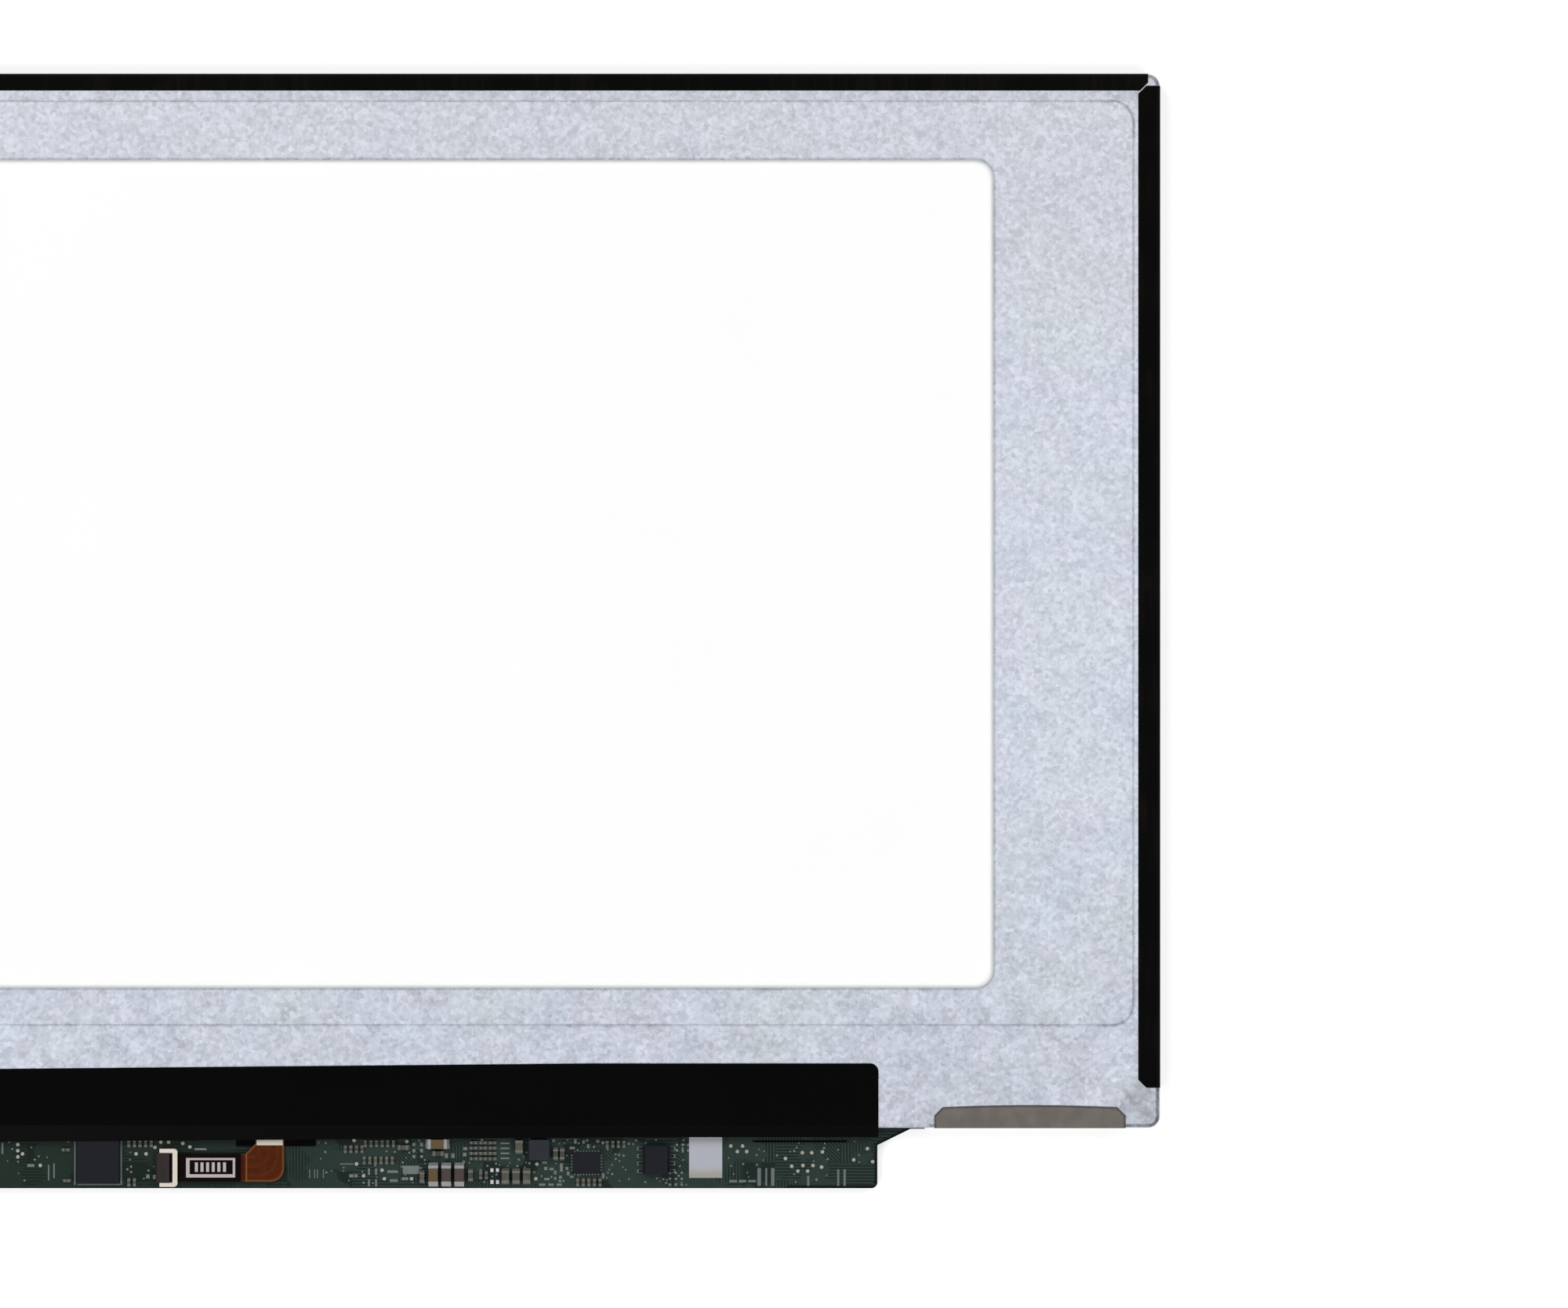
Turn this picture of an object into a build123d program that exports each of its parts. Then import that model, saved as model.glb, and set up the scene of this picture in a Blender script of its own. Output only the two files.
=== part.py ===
from build123d import *
import math
import os

# Slim edge-lit LCD panel of a 13.3 inch laptop, in millimetres.
# It lies on its display face with its back up. X runs along the long side and Y up the short side,
# as seen on the back. Z rises from the display face at Z = 0 to the raised ring of the back cover.

# Back cover, stamped from steel sheet
COVER_WIDTH = 306.0
COVER_HEIGHT = 178.0
COVER_CORNER = 2.0
SHEET = 0.3
BEND_INSIDE = 0.2
RING_STEP = 0.25
RING_TOP_MARGIN = 4.5
RING_SIDE_MARGIN = 4.4
RING_BOTTOM_MARGIN = 17.3
RING_CORNER = 3.6
WINDOW_TOP_MARGIN = 14.5
WINDOW_SIDE_MARGIN = 28.1
WINDOW_BOTTOM_MARGIN = 23.6
WINDOW_CORNER = 3.2

# Thickness of the layers, from the display face to the cover
POLARISER = 0.2
GLASS = 0.5
RIM_TAPE = 0.1
LEDGE = 0.35
UPPER_DIFFUSER = 0.12
PRISM_SHEET = 0.14
LOWER_DIFFUSER = 0.1
LIGHT_GUIDE = 0.6
REFLECTOR = 0.2

# Moulded frame, and the room round what lies in it
FRAME_FIT = 0.05
FRAME_WALL = 0.9
GLASS_FIT = 0.2
OPENING_FIT = 0.45
SHEET_FIT = 0.35
BAR_SETBACK = 2.1
BAR_WIDTH = 2.2

# Glass, polarisers and the ears that locate the optical sheets
DRIVER_ROOM = 3.4
BOND_LEDGE = 2.8
POLARISER_INSET = 3.3
POLARISER_LOWER_INSET = 1.0
RIM_TAPE_INSET = 0.15
EAR_LENGTH = 8.0
EAR_DEPTH = 0.75
EAR_FIT = 0.15
EAR_SPREAD = 100.0

# Catches on the frame's outside that snap into slots in the cover's walls
CATCH_LENGTH = 6.0
CATCH_HEIGHT = 0.8
CATCH_PROUD = 0.2
CATCH_FIT = 0.1
CATCH_RISE = 1.3
CATCH_TOP_PITCH = 95.0
CATCH_SIDE_PITCH = 50.0

# Light bar: LEDs on a flexible strip whose tail folds down to the control board
LED_LENGTH = 3.8
LED_DEPTH = 1.0
LED_HEIGHT = 0.6
LED_PITCH = 8.2
LED_GAP = 0.1
LED_RIM = 0.12
LED_CUP = 0.2
FLEX = 0.12
FLEX_FIT = 0.03
STRIP_LAP = 1.2
STRIP_END = 6.0
TAIL_WIDTH = 4.8
TAIL_LEFT = 0.15
TAIL_FALL_START = 1.4
TAIL_FALL_ANGLE = 28.0
TAIL_FOLD = 0.8
TAIL_LEG = 4.7
TAIL_OUTER_CORNER = 2.2
TAIL_INNER_CUT = 1.7
TAIL_TAPE = 0.06
TAIL_TAPE_LENGTH = 2.0
TAIL_TAPE_SHOWN = 1.4
TAIL_TAPE_EDGE = 0.2

# Control board, hung below the cover
BOARD_LENGTH = 210.6
BOARD_OVERHANG = 10.3
BOARD = 0.7
BOARD_FIT = 0.3
BOARD_CORNER = 1.0
TAB_REACH = 8.0
TAB_DROP = 0.26
GUSSET_RUN = 5.6
GUSSET_DROP = 2.75
NOTCH_FIT = 0.9

# Source films that join the glass to the board, with a driver chip on each
SOURCE_FILM = 0.06
SOURCE_FILM_COUNT = 4
SOURCE_FILM_WIDTH = 38.0
GLASS_BOND = 1.8
BOARD_BOND = 2.2
DRIVER_LENGTH = 22.0
DRIVER_WIDTH = 1.0
DRIVER_HEIGHT = 0.45

# Tapes and films stuck on the outside
EDGE_TAPE = 0.08
TOP_TAPE_WIDTH = 2.8
TOP_TAPE_END = 2.0
SIDE_TAPE_WIDTH = 3.65
SIDE_TAPE_TOP_END = 2.0
SIDE_TAPE_LOWER_END = 6.8
SIDE_TAPE_CHAMFER = 1.35
TAPE_MITRE = 2.3
TAPE_GAP = 0.18
FRONT_LAP = 4.0
GROUND_TAPE = 0.08
GROUND_TAPE_INSET = 0.7
GROUND_TAPE_END = 5.8
GROUND_TAPE_HEIGHT = 3.5
GROUND_TAPE_CROWN = 0.35
GROUND_TAPE_CHAMFER = 1.4
GROUND_TAPE_DROP = 2.3
BOARD_FILM = 0.1
BOARD_FILM_LAP = 10.9
BOARD_FILM_SLANT = 1.5
BOARD_FILM_LEVEL = 48.5
BOARD_FILM_LOWER_SLANT = 1.25
BOARD_FILM_LOWER_LEVEL = 40.0
BOARD_FILM_CORNER = 1.4
BOARD_FILM_OVERREACH = 0.15
BOARD_FILM_ANGLE = 20.0
BOARD_EXPOSED = 8.7
FRONT_FILM = 0.06
FRONT_FILM_GAP = 0.2
FRONT_FILM_LAP = 2.6

# Flip-lock connector that takes the light bar's tail
ZIF_FACE = -13.05
ZIF_RISE = 3.5
ZIF_LENGTH = 6.4
ZIF_DEPTH = 3.0
ZIF_HEIGHT = 1.1
ZIF_FLOOR = 0.35
ZIF_BAR = 0.8
ZIF_EAR = 0.65
ZIF_CORNER = 0.6
ZIF_FLEX_RISE = 0.44
ZIF_FLEX_REACH = 1.3
ZIF_FLEX_FIT = 0.04
ZIF_CONTACTS = 8
ZIF_PITCH = 0.5
ZIF_CONTACT = 0.12
ZIF_CONTACT_WIDTH = 0.22
ZIF_TAIL = 0.6
LOCK_AXIS_BACK = 1.6
LOCK_AXIS_RISE = 0.78
LOCK_BARREL = 0.25
LOCK_REACH = 2.0
LOCK_BELOW = 0.16
LOCK_ABOVE = 0.22
LOCK_BEVEL = 0.16
LOCK_FIT = 0.06
LOCK_PIN = 0.14
LOCK_PIN_FIT = 0.05
LOCK_PIN_REACH = 0.4

# Video connector near the left end of the board
VIDEO_INSET = 22.0
VIDEO_SETBACK = 0.4
VIDEO_LENGTH = 24.0
VIDEO_DEPTH = 4.0
VIDEO_HEIGHT = 1.2
VIDEO_SHELL = 0.15
VIDEO_FLOOR = 0.25
VIDEO_CHEEK = 0.7
VIDEO_REAR = 0.9
VIDEO_TONGUE = 0.3
VIDEO_TONGUE_RISE = 0.5
VIDEO_TONGUE_SETBACK = 0.6
VIDEO_FOOT = 0.8
VIDEO_CONTACTS = 40
VIDEO_PITCH = 0.5
VIDEO_CONTACT = 0.1
VIDEO_CONTACT_WIDTH = 0.22
VIDEO_TAIL = 0.6

# Chips on the board: places are X from the middle and Y up from the board's lower edge
TIMING_PLACE = (-26.5, 4.6)
TIMING_SIDE = 7.2
TIMING_HEIGHT = 0.85
POWER_PLACE = (56.1, 4.3)
POWER_LENGTH = 4.7
POWER_WIDTH = 3.6
POWER_HEIGHT = 0.8
INDUCTOR_PLACE = (48.1, 6.5)
INDUCTOR_SIDE = 3.5
INDUCTOR_HEIGHT = 1.0
INDUCTOR_CORNER = 0.35
MEMORY_PLACE = (67.9, 4.8)
MEMORY_WIDTH = 3.9
MEMORY_LENGTH = 4.9
MEMORY_HEIGHT = 1.0
MEMORY_STAND = 0.1
LEAD_PITCH = 1.27
LEADS_A_SIDE = 4
LEAD_WIDTH = 0.4
LEAD = 0.15
LEAD_REACH = 1.05
LEAD_FOOT = 0.55
LEAD_RISE = 0.5
CHIP_BEVEL = 0.08
LABEL = 0.06
LABEL_PLACE = (76.25, 5.25)
LABEL_WIDTH = 5.6
LABEL_HEIGHT = 7.0

# Chip capacitors and resistors: length, width and height of each size
SIZE_1206 = (3.2, 1.6, 1.2)
SIZE_0805 = (2.0, 1.25, 0.9)
SIZE_0603 = (1.6, 0.8, 0.7)
SIZE_0402 = (1.0, 0.5, 0.35)
CHIP_END = 0.25
CHIP_END_PROUD = 0.03
CAPS_1206_UPRIGHT = [(30.2, 2.3), (32.4, 2.3), (34.6, 2.3)]
CAPS_1206_FLAT = [(30.9, 7.5)]
CAPS_0805_UPRIGHT = [(42.4, 2.0), (44.2, 2.0), (46.0, 2.0), (44.7, 7.1)]
CAPS_0603_UPRIGHT = [(28.3, 1.9), (36.5, 2.2), (50.9, 5.8), (52.0, 5.8)]
CAPS_0603_FLAT = [(25.1, 6.9), (31.0, 5.9)]
# Rows of 0402 chips: first place of each row and the row's length from first chip to last
UPRIGHT_PITCH = 0.95
ROWS_0402_UPRIGHT = [
    ((-21.3, 7.6), 3.8),
    ((-21.3, 1.0), 0.95),
    ((15.3, 6.6), 2.85),
    ((18.7, 7.6), 4.75),
    ((18.5, 4.7), 4.75),
    ((38.2, 2.2), 0.95),
    ((54.6, 1.0), 3.8),
    ((59.6, 7.5), 2.85),
]
FLAT_PITCH = 1.6
ROWS_0402_FLAT = [
    ((-32.0, 6.5), 0.0),
    ((-31.8, 1.3), 0.0),
    ((37.0, 7.7), 3.2),
    ((37.0, 6.8), 3.2),
    ((37.0, 5.9), 3.2),
    ((37.0, 5.0), 3.2),
]

# How far a cut runs past the face that it goes through
PAST = 1.0

# Levels in Z, worked out from the layers
GLASS_FRONT = POLARISER
BOND_LEVEL = GLASS_FRONT + GLASS
GLASS_BACK = BOND_LEVEL + GLASS
LEDGE_FRONT = GLASS_BACK + RIM_TAPE
LEDGE_BACK = LEDGE_FRONT + LEDGE
UPPER_PRISM_LEVEL = LEDGE_BACK + UPPER_DIFFUSER
LOWER_PRISM_LEVEL = UPPER_PRISM_LEVEL + PRISM_SHEET
LOWER_DIFFUSER_LEVEL = LOWER_PRISM_LEVEL + PRISM_SHEET
GUIDE_LEVEL = LOWER_DIFFUSER_LEVEL + LOWER_DIFFUSER
REFLECTOR_LEVEL = GUIDE_LEVEL + LIGHT_GUIDE
COVER_INSIDE = REFLECTOR_LEVEL + REFLECTOR
MARGIN_BACK = COVER_INSIDE + SHEET
STRIP_FRONT = COVER_INSIDE - FLEX
BAR_BACK = STRIP_FRONT - FLEX_FIT
BOARD_FRONT = BOND_LEVEL
BOARD_BACK = BOARD_FRONT + BOARD
TAIL_LEVEL = BOARD_BACK + ZIF_FLEX_RISE

# Lines in X and Y, worked out from the cover
COVER_SIDE = COVER_WIDTH / 2
COVER_TOP = (COVER_HEIGHT + BOARD_OVERHANG - EDGE_TAPE) / 2
COVER_BOTTOM = COVER_TOP - COVER_HEIGHT
COVER_MIDDLE = (COVER_TOP + COVER_BOTTOM) / 2
BOARD_BOTTOM = COVER_BOTTOM - BOARD_OVERHANG
BEND = BEND_INSIDE + SHEET
FRAME_INNER = COVER_SIDE - SHEET - FRAME_FIT - FRAME_WALL
FRAME_INNER_TOP = COVER_TOP - SHEET - FRAME_FIT - FRAME_WALL
BAR_BOTTOM = COVER_BOTTOM + BAR_SETBACK
BAR_TOP = BAR_BOTTOM + BAR_WIDTH
GLASS_SIDE = FRAME_INNER - GLASS_FIT
GLASS_TOP = FRAME_INNER_TOP - GLASS_FIT
ARRAY_BOTTOM = COVER_BOTTOM + DRIVER_ROOM
FILTER_BOTTOM = ARRAY_BOTTOM + BOND_LEDGE
POLARISER_SIDE = GLASS_SIDE - POLARISER_INSET
POLARISER_TOP = GLASS_TOP - POLARISER_INSET
POLARISER_BOTTOM = FILTER_BOTTOM + POLARISER_LOWER_INSET
OPENING_SIDE = POLARISER_SIDE + OPENING_FIT
OPENING_TOP = POLARISER_TOP + OPENING_FIT
OPENING_BOTTOM = POLARISER_BOTTOM - OPENING_FIT
SHEETS_SIDE = FRAME_INNER - SHEET_FIT
SHEETS_TOP = FRAME_INNER_TOP - SHEET_FIT
LED_BOTTOM = BAR_TOP + LED_GAP
LED_TOP = LED_BOTTOM + LED_DEPTH
GUIDE_BOTTOM = LED_TOP + LED_GAP
STRIP_BOTTOM = BAR_TOP - STRIP_LAP
STRIP_SIDE = FRAME_INNER - STRIP_END
BOARD_TOP = BAR_BOTTOM - BOARD_FIT
BOARD_SIDE = BOARD_LENGTH / 2
TAB_SIDE = BOARD_SIDE + TAB_REACH
TAB_BOTTOM = COVER_BOTTOM - TAB_DROP
NOTCH_SIDE = TAB_SIDE + NOTCH_FIT
TAIL_RIGHT = TAIL_LEFT + TAIL_WIDTH
ZIF_MIDDLE = BOARD_BOTTOM + ZIF_RISE
FILM_SIDE = BOARD_SIDE + BOARD_FILM_OVERREACH


def block(x0, x1, y0, y1, z0, z1):
    """Box between two corners."""
    middle = Pos((x0 + x1) / 2, (y0 + y1) / 2, (z0 + z1) / 2)
    return middle * Box(x1 - x0, y1 - y0, z1 - z0)


def layer(side, bottom, top, level, thickness):
    """Flat sheet, as wide to the left as to the right."""
    return block(-side, side, bottom, top, level, level + thickness)


def across(profile, x0, x1):
    """Solid with a profile drawn in Y and Z, run from x0 to x1."""
    return extrude(Plane.YZ.offset(x0) * profile, x1 - x0)


def upright(plan, z0, z1):
    """Solid with a plan drawn in X and Y, run from z0 to z1."""
    return extrude(Pos(0, 0, z0) * plan, z1 - z0)


def closed(points):
    """Face inside a closed run of straight lines."""
    return make_face(Polyline(*points, close=True))


def on_board(place, piece):
    """Set a piece that was drawn about the origin at its place on the board's back."""
    x, rise = place
    return Pos(x, BOARD_BOTTOM + rise, BOARD_BACK) * piece


def pressed(grow, front):
    """Solid with the outside form of the cover's margin and walls, grown all round."""
    plan = RectangleRounded(COVER_WIDTH + 2 * grow, COVER_HEIGHT + 2 * grow, COVER_CORNER + grow)
    body = upright(Pos(0, COVER_MIDDLE) * plan, front, MARGIN_BACK + grow)
    return fillet(body.edges().group_by(Axis.Z)[-1], BEND + grow)


def raised_ring(inset, level):
    """Low plateau with sides at 45 degrees, drawn up from the margin."""
    width = COVER_WIDTH - 2 * (RING_SIDE_MARGIN + inset)
    top = COVER_TOP - RING_TOP_MARGIN - inset
    bottom = COVER_BOTTOM + RING_BOTTOM_MARGIN + inset
    plan = RectangleRounded(width, top - bottom, RING_CORNER - inset)
    return extrude(Pos(0, (top + bottom) / 2, level) * plan, RING_STEP, taper=45)


def cover_window():
    """Cutter for the rounded window in the middle of the cover."""
    width = COVER_WIDTH - 2 * WINDOW_SIDE_MARGIN
    top = COVER_TOP - WINDOW_TOP_MARGIN
    bottom = COVER_BOTTOM + WINDOW_BOTTOM_MARGIN
    plan = Pos(0, (top + bottom) / 2) * RectangleRounded(width, top - bottom, WINDOW_CORNER)
    return upright(plan, GLASS_FRONT - PAST, MARGIN_BACK + RING_STEP + PAST)


def board_notch(top, back):
    """Cutter that opens a lower wall for the board, up to the given lines."""
    return block(-NOTCH_SIDE, NOTCH_SIDE, COVER_BOTTOM - PAST, top, GLASS_FRONT - PAST, back)


def back_cover():
    """Stamped cover: margin, raised ring, window and walls, open at the bottom for the board."""
    draw_in = SHEET * (math.sqrt(2) - 1)
    outside = pressed(0, GLASS_FRONT) + raised_ring(0, MARGIN_BACK)
    inside = pressed(-SHEET, GLASS_FRONT - PAST) + raised_ring(draw_in, COVER_INSIDE)
    notch = board_notch(COVER_BOTTOM + BEND, MARGIN_BACK - BEND)
    return outside - inside - cover_window() - notch - catches(CATCH_FIT, SHEET + PAST)


def catches(grow, reach):
    """Catches along the frame's top and sides, or the slots for them when grown."""
    side = COVER_SIDE - SHEET - FRAME_FIT
    top = COVER_TOP - SHEET - FRAME_FIT
    half = CATCH_LENGTH / 2 + grow
    low = GLASS_FRONT + CATCH_RISE - grow
    high = GLASS_FRONT + CATCH_RISE + CATCH_HEIGHT + grow
    pieces = []
    for x in (-CATCH_TOP_PITCH, 0, CATCH_TOP_PITCH):
        pieces.append(block(x - half, x + half, top, top + reach, low, high))
    for y in (COVER_MIDDLE - CATCH_SIDE_PITCH / 2, COVER_MIDDLE + CATCH_SIDE_PITCH / 2):
        catch = block(side, side + reach, y - half, y + half, low, high)
        pieces.append(catch)
        pieces.append(mirror(catch, Plane.YZ))
    return pieces


def ears(grow, level, height):
    """Four locating ears at the sides of an optical sheet, or their slots when grown."""
    inner = FRAME_INNER - SHEET_FIT
    outer = inner + EAR_DEPTH + grow
    half = EAR_LENGTH / 2 + grow
    pieces = []
    for y in (COVER_MIDDLE - EAR_SPREAD / 2, COVER_MIDDLE + EAR_SPREAD / 2):
        ear = block(inner, outer, y - half, y + half, level, level + height)
        pieces.append(ear)
        pieces.append(mirror(ear, Plane.YZ))
    return pieces


def mould_frame():
    """Moulded frame: ledge between glass and optical sheets, with walls round both pockets."""
    frame = pressed(-SHEET - FRAME_FIT, GLASS_FRONT) + catches(0, CATCH_PROUD)
    back = COVER_INSIDE + PAST
    front = GLASS_FRONT - PAST
    glass_pocket_bottom = ARRAY_BOTTOM - GLASS_FIT
    strip_pocket_side = STRIP_SIDE + FLEX_FIT
    frame -= block(-OPENING_SIDE, OPENING_SIDE, OPENING_BOTTOM, OPENING_TOP, front, back)
    frame -= block(-FRAME_INNER, FRAME_INNER, glass_pocket_bottom, FRAME_INNER_TOP, front, LEDGE_FRONT)
    frame -= block(-FRAME_INNER, FRAME_INNER, BAR_TOP, FRAME_INNER_TOP, LEDGE_BACK, back)
    frame -= board_notch(BAR_BOTTOM, back)
    frame -= board_notch(glass_pocket_bottom, LEDGE_FRONT)
    strip_pocket_bottom = STRIP_BOTTOM - FLEX_FIT
    frame -= block(-strip_pocket_side, strip_pocket_side, strip_pocket_bottom, BAR_TOP, BAR_BACK, back)
    frame -= block(TAIL_LEFT - FLEX_FIT, TAIL_RIGHT + FLEX_FIT, BAR_BOTTOM, STRIP_BOTTOM, BAR_BACK, back)
    return frame - ears(EAR_FIT, LEDGE_BACK, back - LEDGE_BACK)


def optical_sheet(level, thickness):
    """Film over the light guide, with its locating ears."""
    sheet = layer(SHEETS_SIDE, GUIDE_BOTTOM, SHEETS_TOP, level, thickness)
    return sheet + ears(0, level, thickness)


def rim_tape():
    """Ring of tape that holds the glass on the frame's ledge."""
    side = GLASS_SIDE - RIM_TAPE_INSET
    ring = layer(side, ARRAY_BOTTOM + RIM_TAPE_INSET, GLASS_TOP - RIM_TAPE_INSET, GLASS_BACK, RIM_TAPE)
    back = LEDGE_FRONT + PAST
    front = GLASS_BACK - PAST
    return ring - block(-OPENING_SIDE, OPENING_SIDE, OPENING_BOTTOM, OPENING_TOP, front, back)


def tail_side_profile():
    """Tail seen from the side: along the cover, down the slope and out over the board."""
    strip_middle = STRIP_FRONT + FLEX / 2
    tail_middle = TAIL_LEVEL + FLEX / 2
    fall_y = COVER_BOTTOM + TAIL_FALL_START
    run = (strip_middle - tail_middle) / math.tan(math.radians(TAIL_FALL_ANGLE))
    points = [
        (STRIP_BOTTOM, strip_middle),
        (fall_y, strip_middle),
        (fall_y - run, tail_middle),
        (ZIF_MIDDLE, tail_middle),
    ]
    return trace(FilletPolyline(*points, radius=TAIL_FOLD), FLEX)


def light_bar_flex():
    """Strip that carries the LEDs, in one piece with its tail to the connector."""
    strip = block(-STRIP_SIDE, STRIP_SIDE, STRIP_BOTTOM, LED_TOP, STRIP_FRONT, COVER_INSIDE)
    drop = across(tail_side_profile(), TAIL_LEFT, TAIL_RIGHT)
    leg_top = ZIF_MIDDLE + TAIL_LEG / 2
    leg_bottom = ZIF_MIDDLE - TAIL_LEG / 2
    leg_end = ZIF_FACE - ZIF_FLEX_REACH
    leg = block(leg_end, TAIL_RIGHT, leg_bottom, leg_top, TAIL_LEVEL, TAIL_LEVEL + FLEX)
    web_points = [
        (TAIL_LEFT, leg_top),
        (TAIL_LEFT, leg_top + TAIL_INNER_CUT),
        (TAIL_LEFT - TAIL_INNER_CUT, leg_top),
    ]
    web = upright(closed(web_points), TAIL_LEVEL, TAIL_LEVEL + FLEX)
    flex = strip + drop + leg + web
    uprights = flex.edges().filter_by(Axis.Z)
    corner = uprights.sort_by_distance((TAIL_RIGHT, leg_bottom, TAIL_LEVEL))[0]
    return fillet(corner, TAIL_OUTER_CORNER)


def tail_tape():
    """Short white tape across the tail where it comes out from under the board film."""
    film_edge = BOARD_BOTTOM + BOARD_EXPOSED
    level = TAIL_LEVEL + FLEX
    left = TAIL_LEFT + TAIL_TAPE_EDGE
    right = TAIL_RIGHT - TAIL_TAPE_EDGE
    low = film_edge - TAIL_TAPE_SHOWN
    return block(left, right, low, low + TAIL_TAPE_LENGTH, level, level + TAIL_TAPE)


def leds():
    """Row of LED packages along the lower edge of the light guide, each with its cup facing the guide."""
    count = int((2 * STRIP_SIDE - LED_LENGTH) / LED_PITCH) + 1
    half = LED_LENGTH / 2
    front = STRIP_FRONT - LED_HEIGHT
    body = block(-half, half, LED_BOTTOM, LED_TOP, front, STRIP_FRONT)
    cup_side = half - LED_RIM
    cup_bottom = LED_TOP - LED_CUP
    cup_back = STRIP_FRONT - LED_RIM
    body -= block(-cup_side, cup_side, cup_bottom, LED_TOP + PAST, front + LED_RIM, cup_back)
    return [place * body for place in GridLocations(LED_PITCH, 1, count, 1)]


def source_film_places():
    """Middles of the source films along the board."""
    pitch = BOARD_LENGTH / SOURCE_FILM_COUNT
    return [place.position.X for place in GridLocations(pitch, 1, SOURCE_FILM_COUNT, 1)]


def source_films():
    """Films bonded to the glass at one end and to the board at the other."""
    half = SOURCE_FILM_WIDTH / 2
    low = BOARD_TOP - BOARD_BOND
    high = ARRAY_BOTTOM + GLASS_BOND
    level = BOND_LEVEL - SOURCE_FILM
    return [block(x - half, x + half, low, high, level, BOND_LEVEL) for x in source_film_places()]


def driver_chips():
    """Long narrow chip on each source film, in the gap between glass and board."""
    half = DRIVER_LENGTH / 2
    middle = (ARRAY_BOTTOM + BOARD_TOP) / 2
    low = middle - DRIVER_WIDTH / 2
    high = middle + DRIVER_WIDTH / 2
    top = BOND_LEVEL + DRIVER_HEIGHT
    return [block(x - half, x + half, low, high, BOND_LEVEL, top) for x in source_film_places()]


def control_board():
    """Long board with a tab under the cover at each end and a sloped gusset below each tab."""
    right = [
        (BOARD_SIDE, BOARD_BOTTOM),
        (BOARD_SIDE, TAB_BOTTOM - GUSSET_DROP),
        (BOARD_SIDE + GUSSET_RUN, TAB_BOTTOM),
        (TAB_SIDE, TAB_BOTTOM),
        (TAB_SIDE, BOARD_TOP),
    ]
    left = [(-x, y) for x, y in reversed(right)]
    plan = closed(right + left)
    corners = plan.vertices().group_by(Axis.Y)[0]
    return upright(fillet(corners, BOARD_CORNER), BOARD_FRONT, BOARD_BACK)


def edge_wrap(thickness):
    """Skin of one thickness over the outside of the cover and across its front edge."""
    return pressed(thickness, GLASS_FRONT - thickness) - pressed(0, GLASS_FRONT)


def wrapped(thickness, back_plan, front_plan):
    """Tape folded over the cover's edge: one plan on the back and walls, another on the front."""
    fold = (GLASS_FRONT + MARGIN_BACK) / 2
    reach = upright(back_plan, fold, MARGIN_BACK + PAST) + upright(front_plan, GLASS_FRONT - PAST, fold)
    return edge_wrap(thickness) & reach


def side_tape_plan(width):
    """Right edge tape: mitred at its top end and chamfered at its lower end."""
    outer = COVER_SIDE + PAST
    inner = COVER_SIDE - width
    top = COVER_TOP - SIDE_TAPE_TOP_END
    bottom = COVER_BOTTOM + SIDE_TAPE_LOWER_END
    points = [
        (outer, top),
        (COVER_SIDE - TAPE_MITRE, top),
        (inner, top - width + TAPE_MITRE),
        (inner, bottom + SIDE_TAPE_CHAMFER),
        (inner + SIDE_TAPE_CHAMFER, bottom),
        (outer, bottom),
    ]
    return closed(points)


def top_tape_plan(width):
    """Top edge tape: both ends mitred to lie a small gap from the side tapes."""
    end = COVER_SIDE - TOP_TAPE_END
    outer = COVER_TOP + PAST
    lower = COVER_TOP - width
    mitre = COVER_TOP - SIDE_TAPE_TOP_END - (COVER_SIDE - TAPE_MITRE) + TAPE_GAP * math.sqrt(2)
    right = [(lower - mitre, lower), (end, end + mitre), (end, outer)]
    left = [(-x, y) for x, y in reversed(right)]
    return closed(right + left)


def right_edge_tape():
    """Black tape over the right edge."""
    return wrapped(EDGE_TAPE, side_tape_plan(SIDE_TAPE_WIDTH), side_tape_plan(FRONT_LAP))


def top_edge_tape():
    """Black tape over the top edge."""
    return wrapped(EDGE_TAPE, top_tape_plan(TOP_TAPE_WIDTH), top_tape_plan(FRONT_LAP))


def ground_tape():
    """Conductive tape with a bowed top edge, folded over the bottom edge beside the board."""
    left = NOTCH_SIDE + GROUND_TAPE_INSET
    right = COVER_SIDE - GROUND_TAPE_END
    shoulder = COVER_BOTTOM + GROUND_TAPE_HEIGHT
    low = shoulder - GROUND_TAPE_CHAMFER
    bottom = COVER_BOTTOM - PAST
    arc_left = (left + GROUND_TAPE_CHAMFER, shoulder)
    arc_right = (right - GROUND_TAPE_CHAMFER, shoulder)
    crown = ((left + right) / 2, shoulder + GROUND_TAPE_CROWN)
    bow = ThreePointArc(arc_left, crown, arc_right)
    rest = Polyline(arc_right, (right, low), (right, bottom), (left, bottom), (left, low), arc_left)
    plan = make_face(bow.edges() + rest.edges())
    return edge_wrap(GROUND_TAPE) & upright(plan, MARGIN_BACK - GROUND_TAPE_DROP, MARGIN_BACK + PAST)


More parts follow.
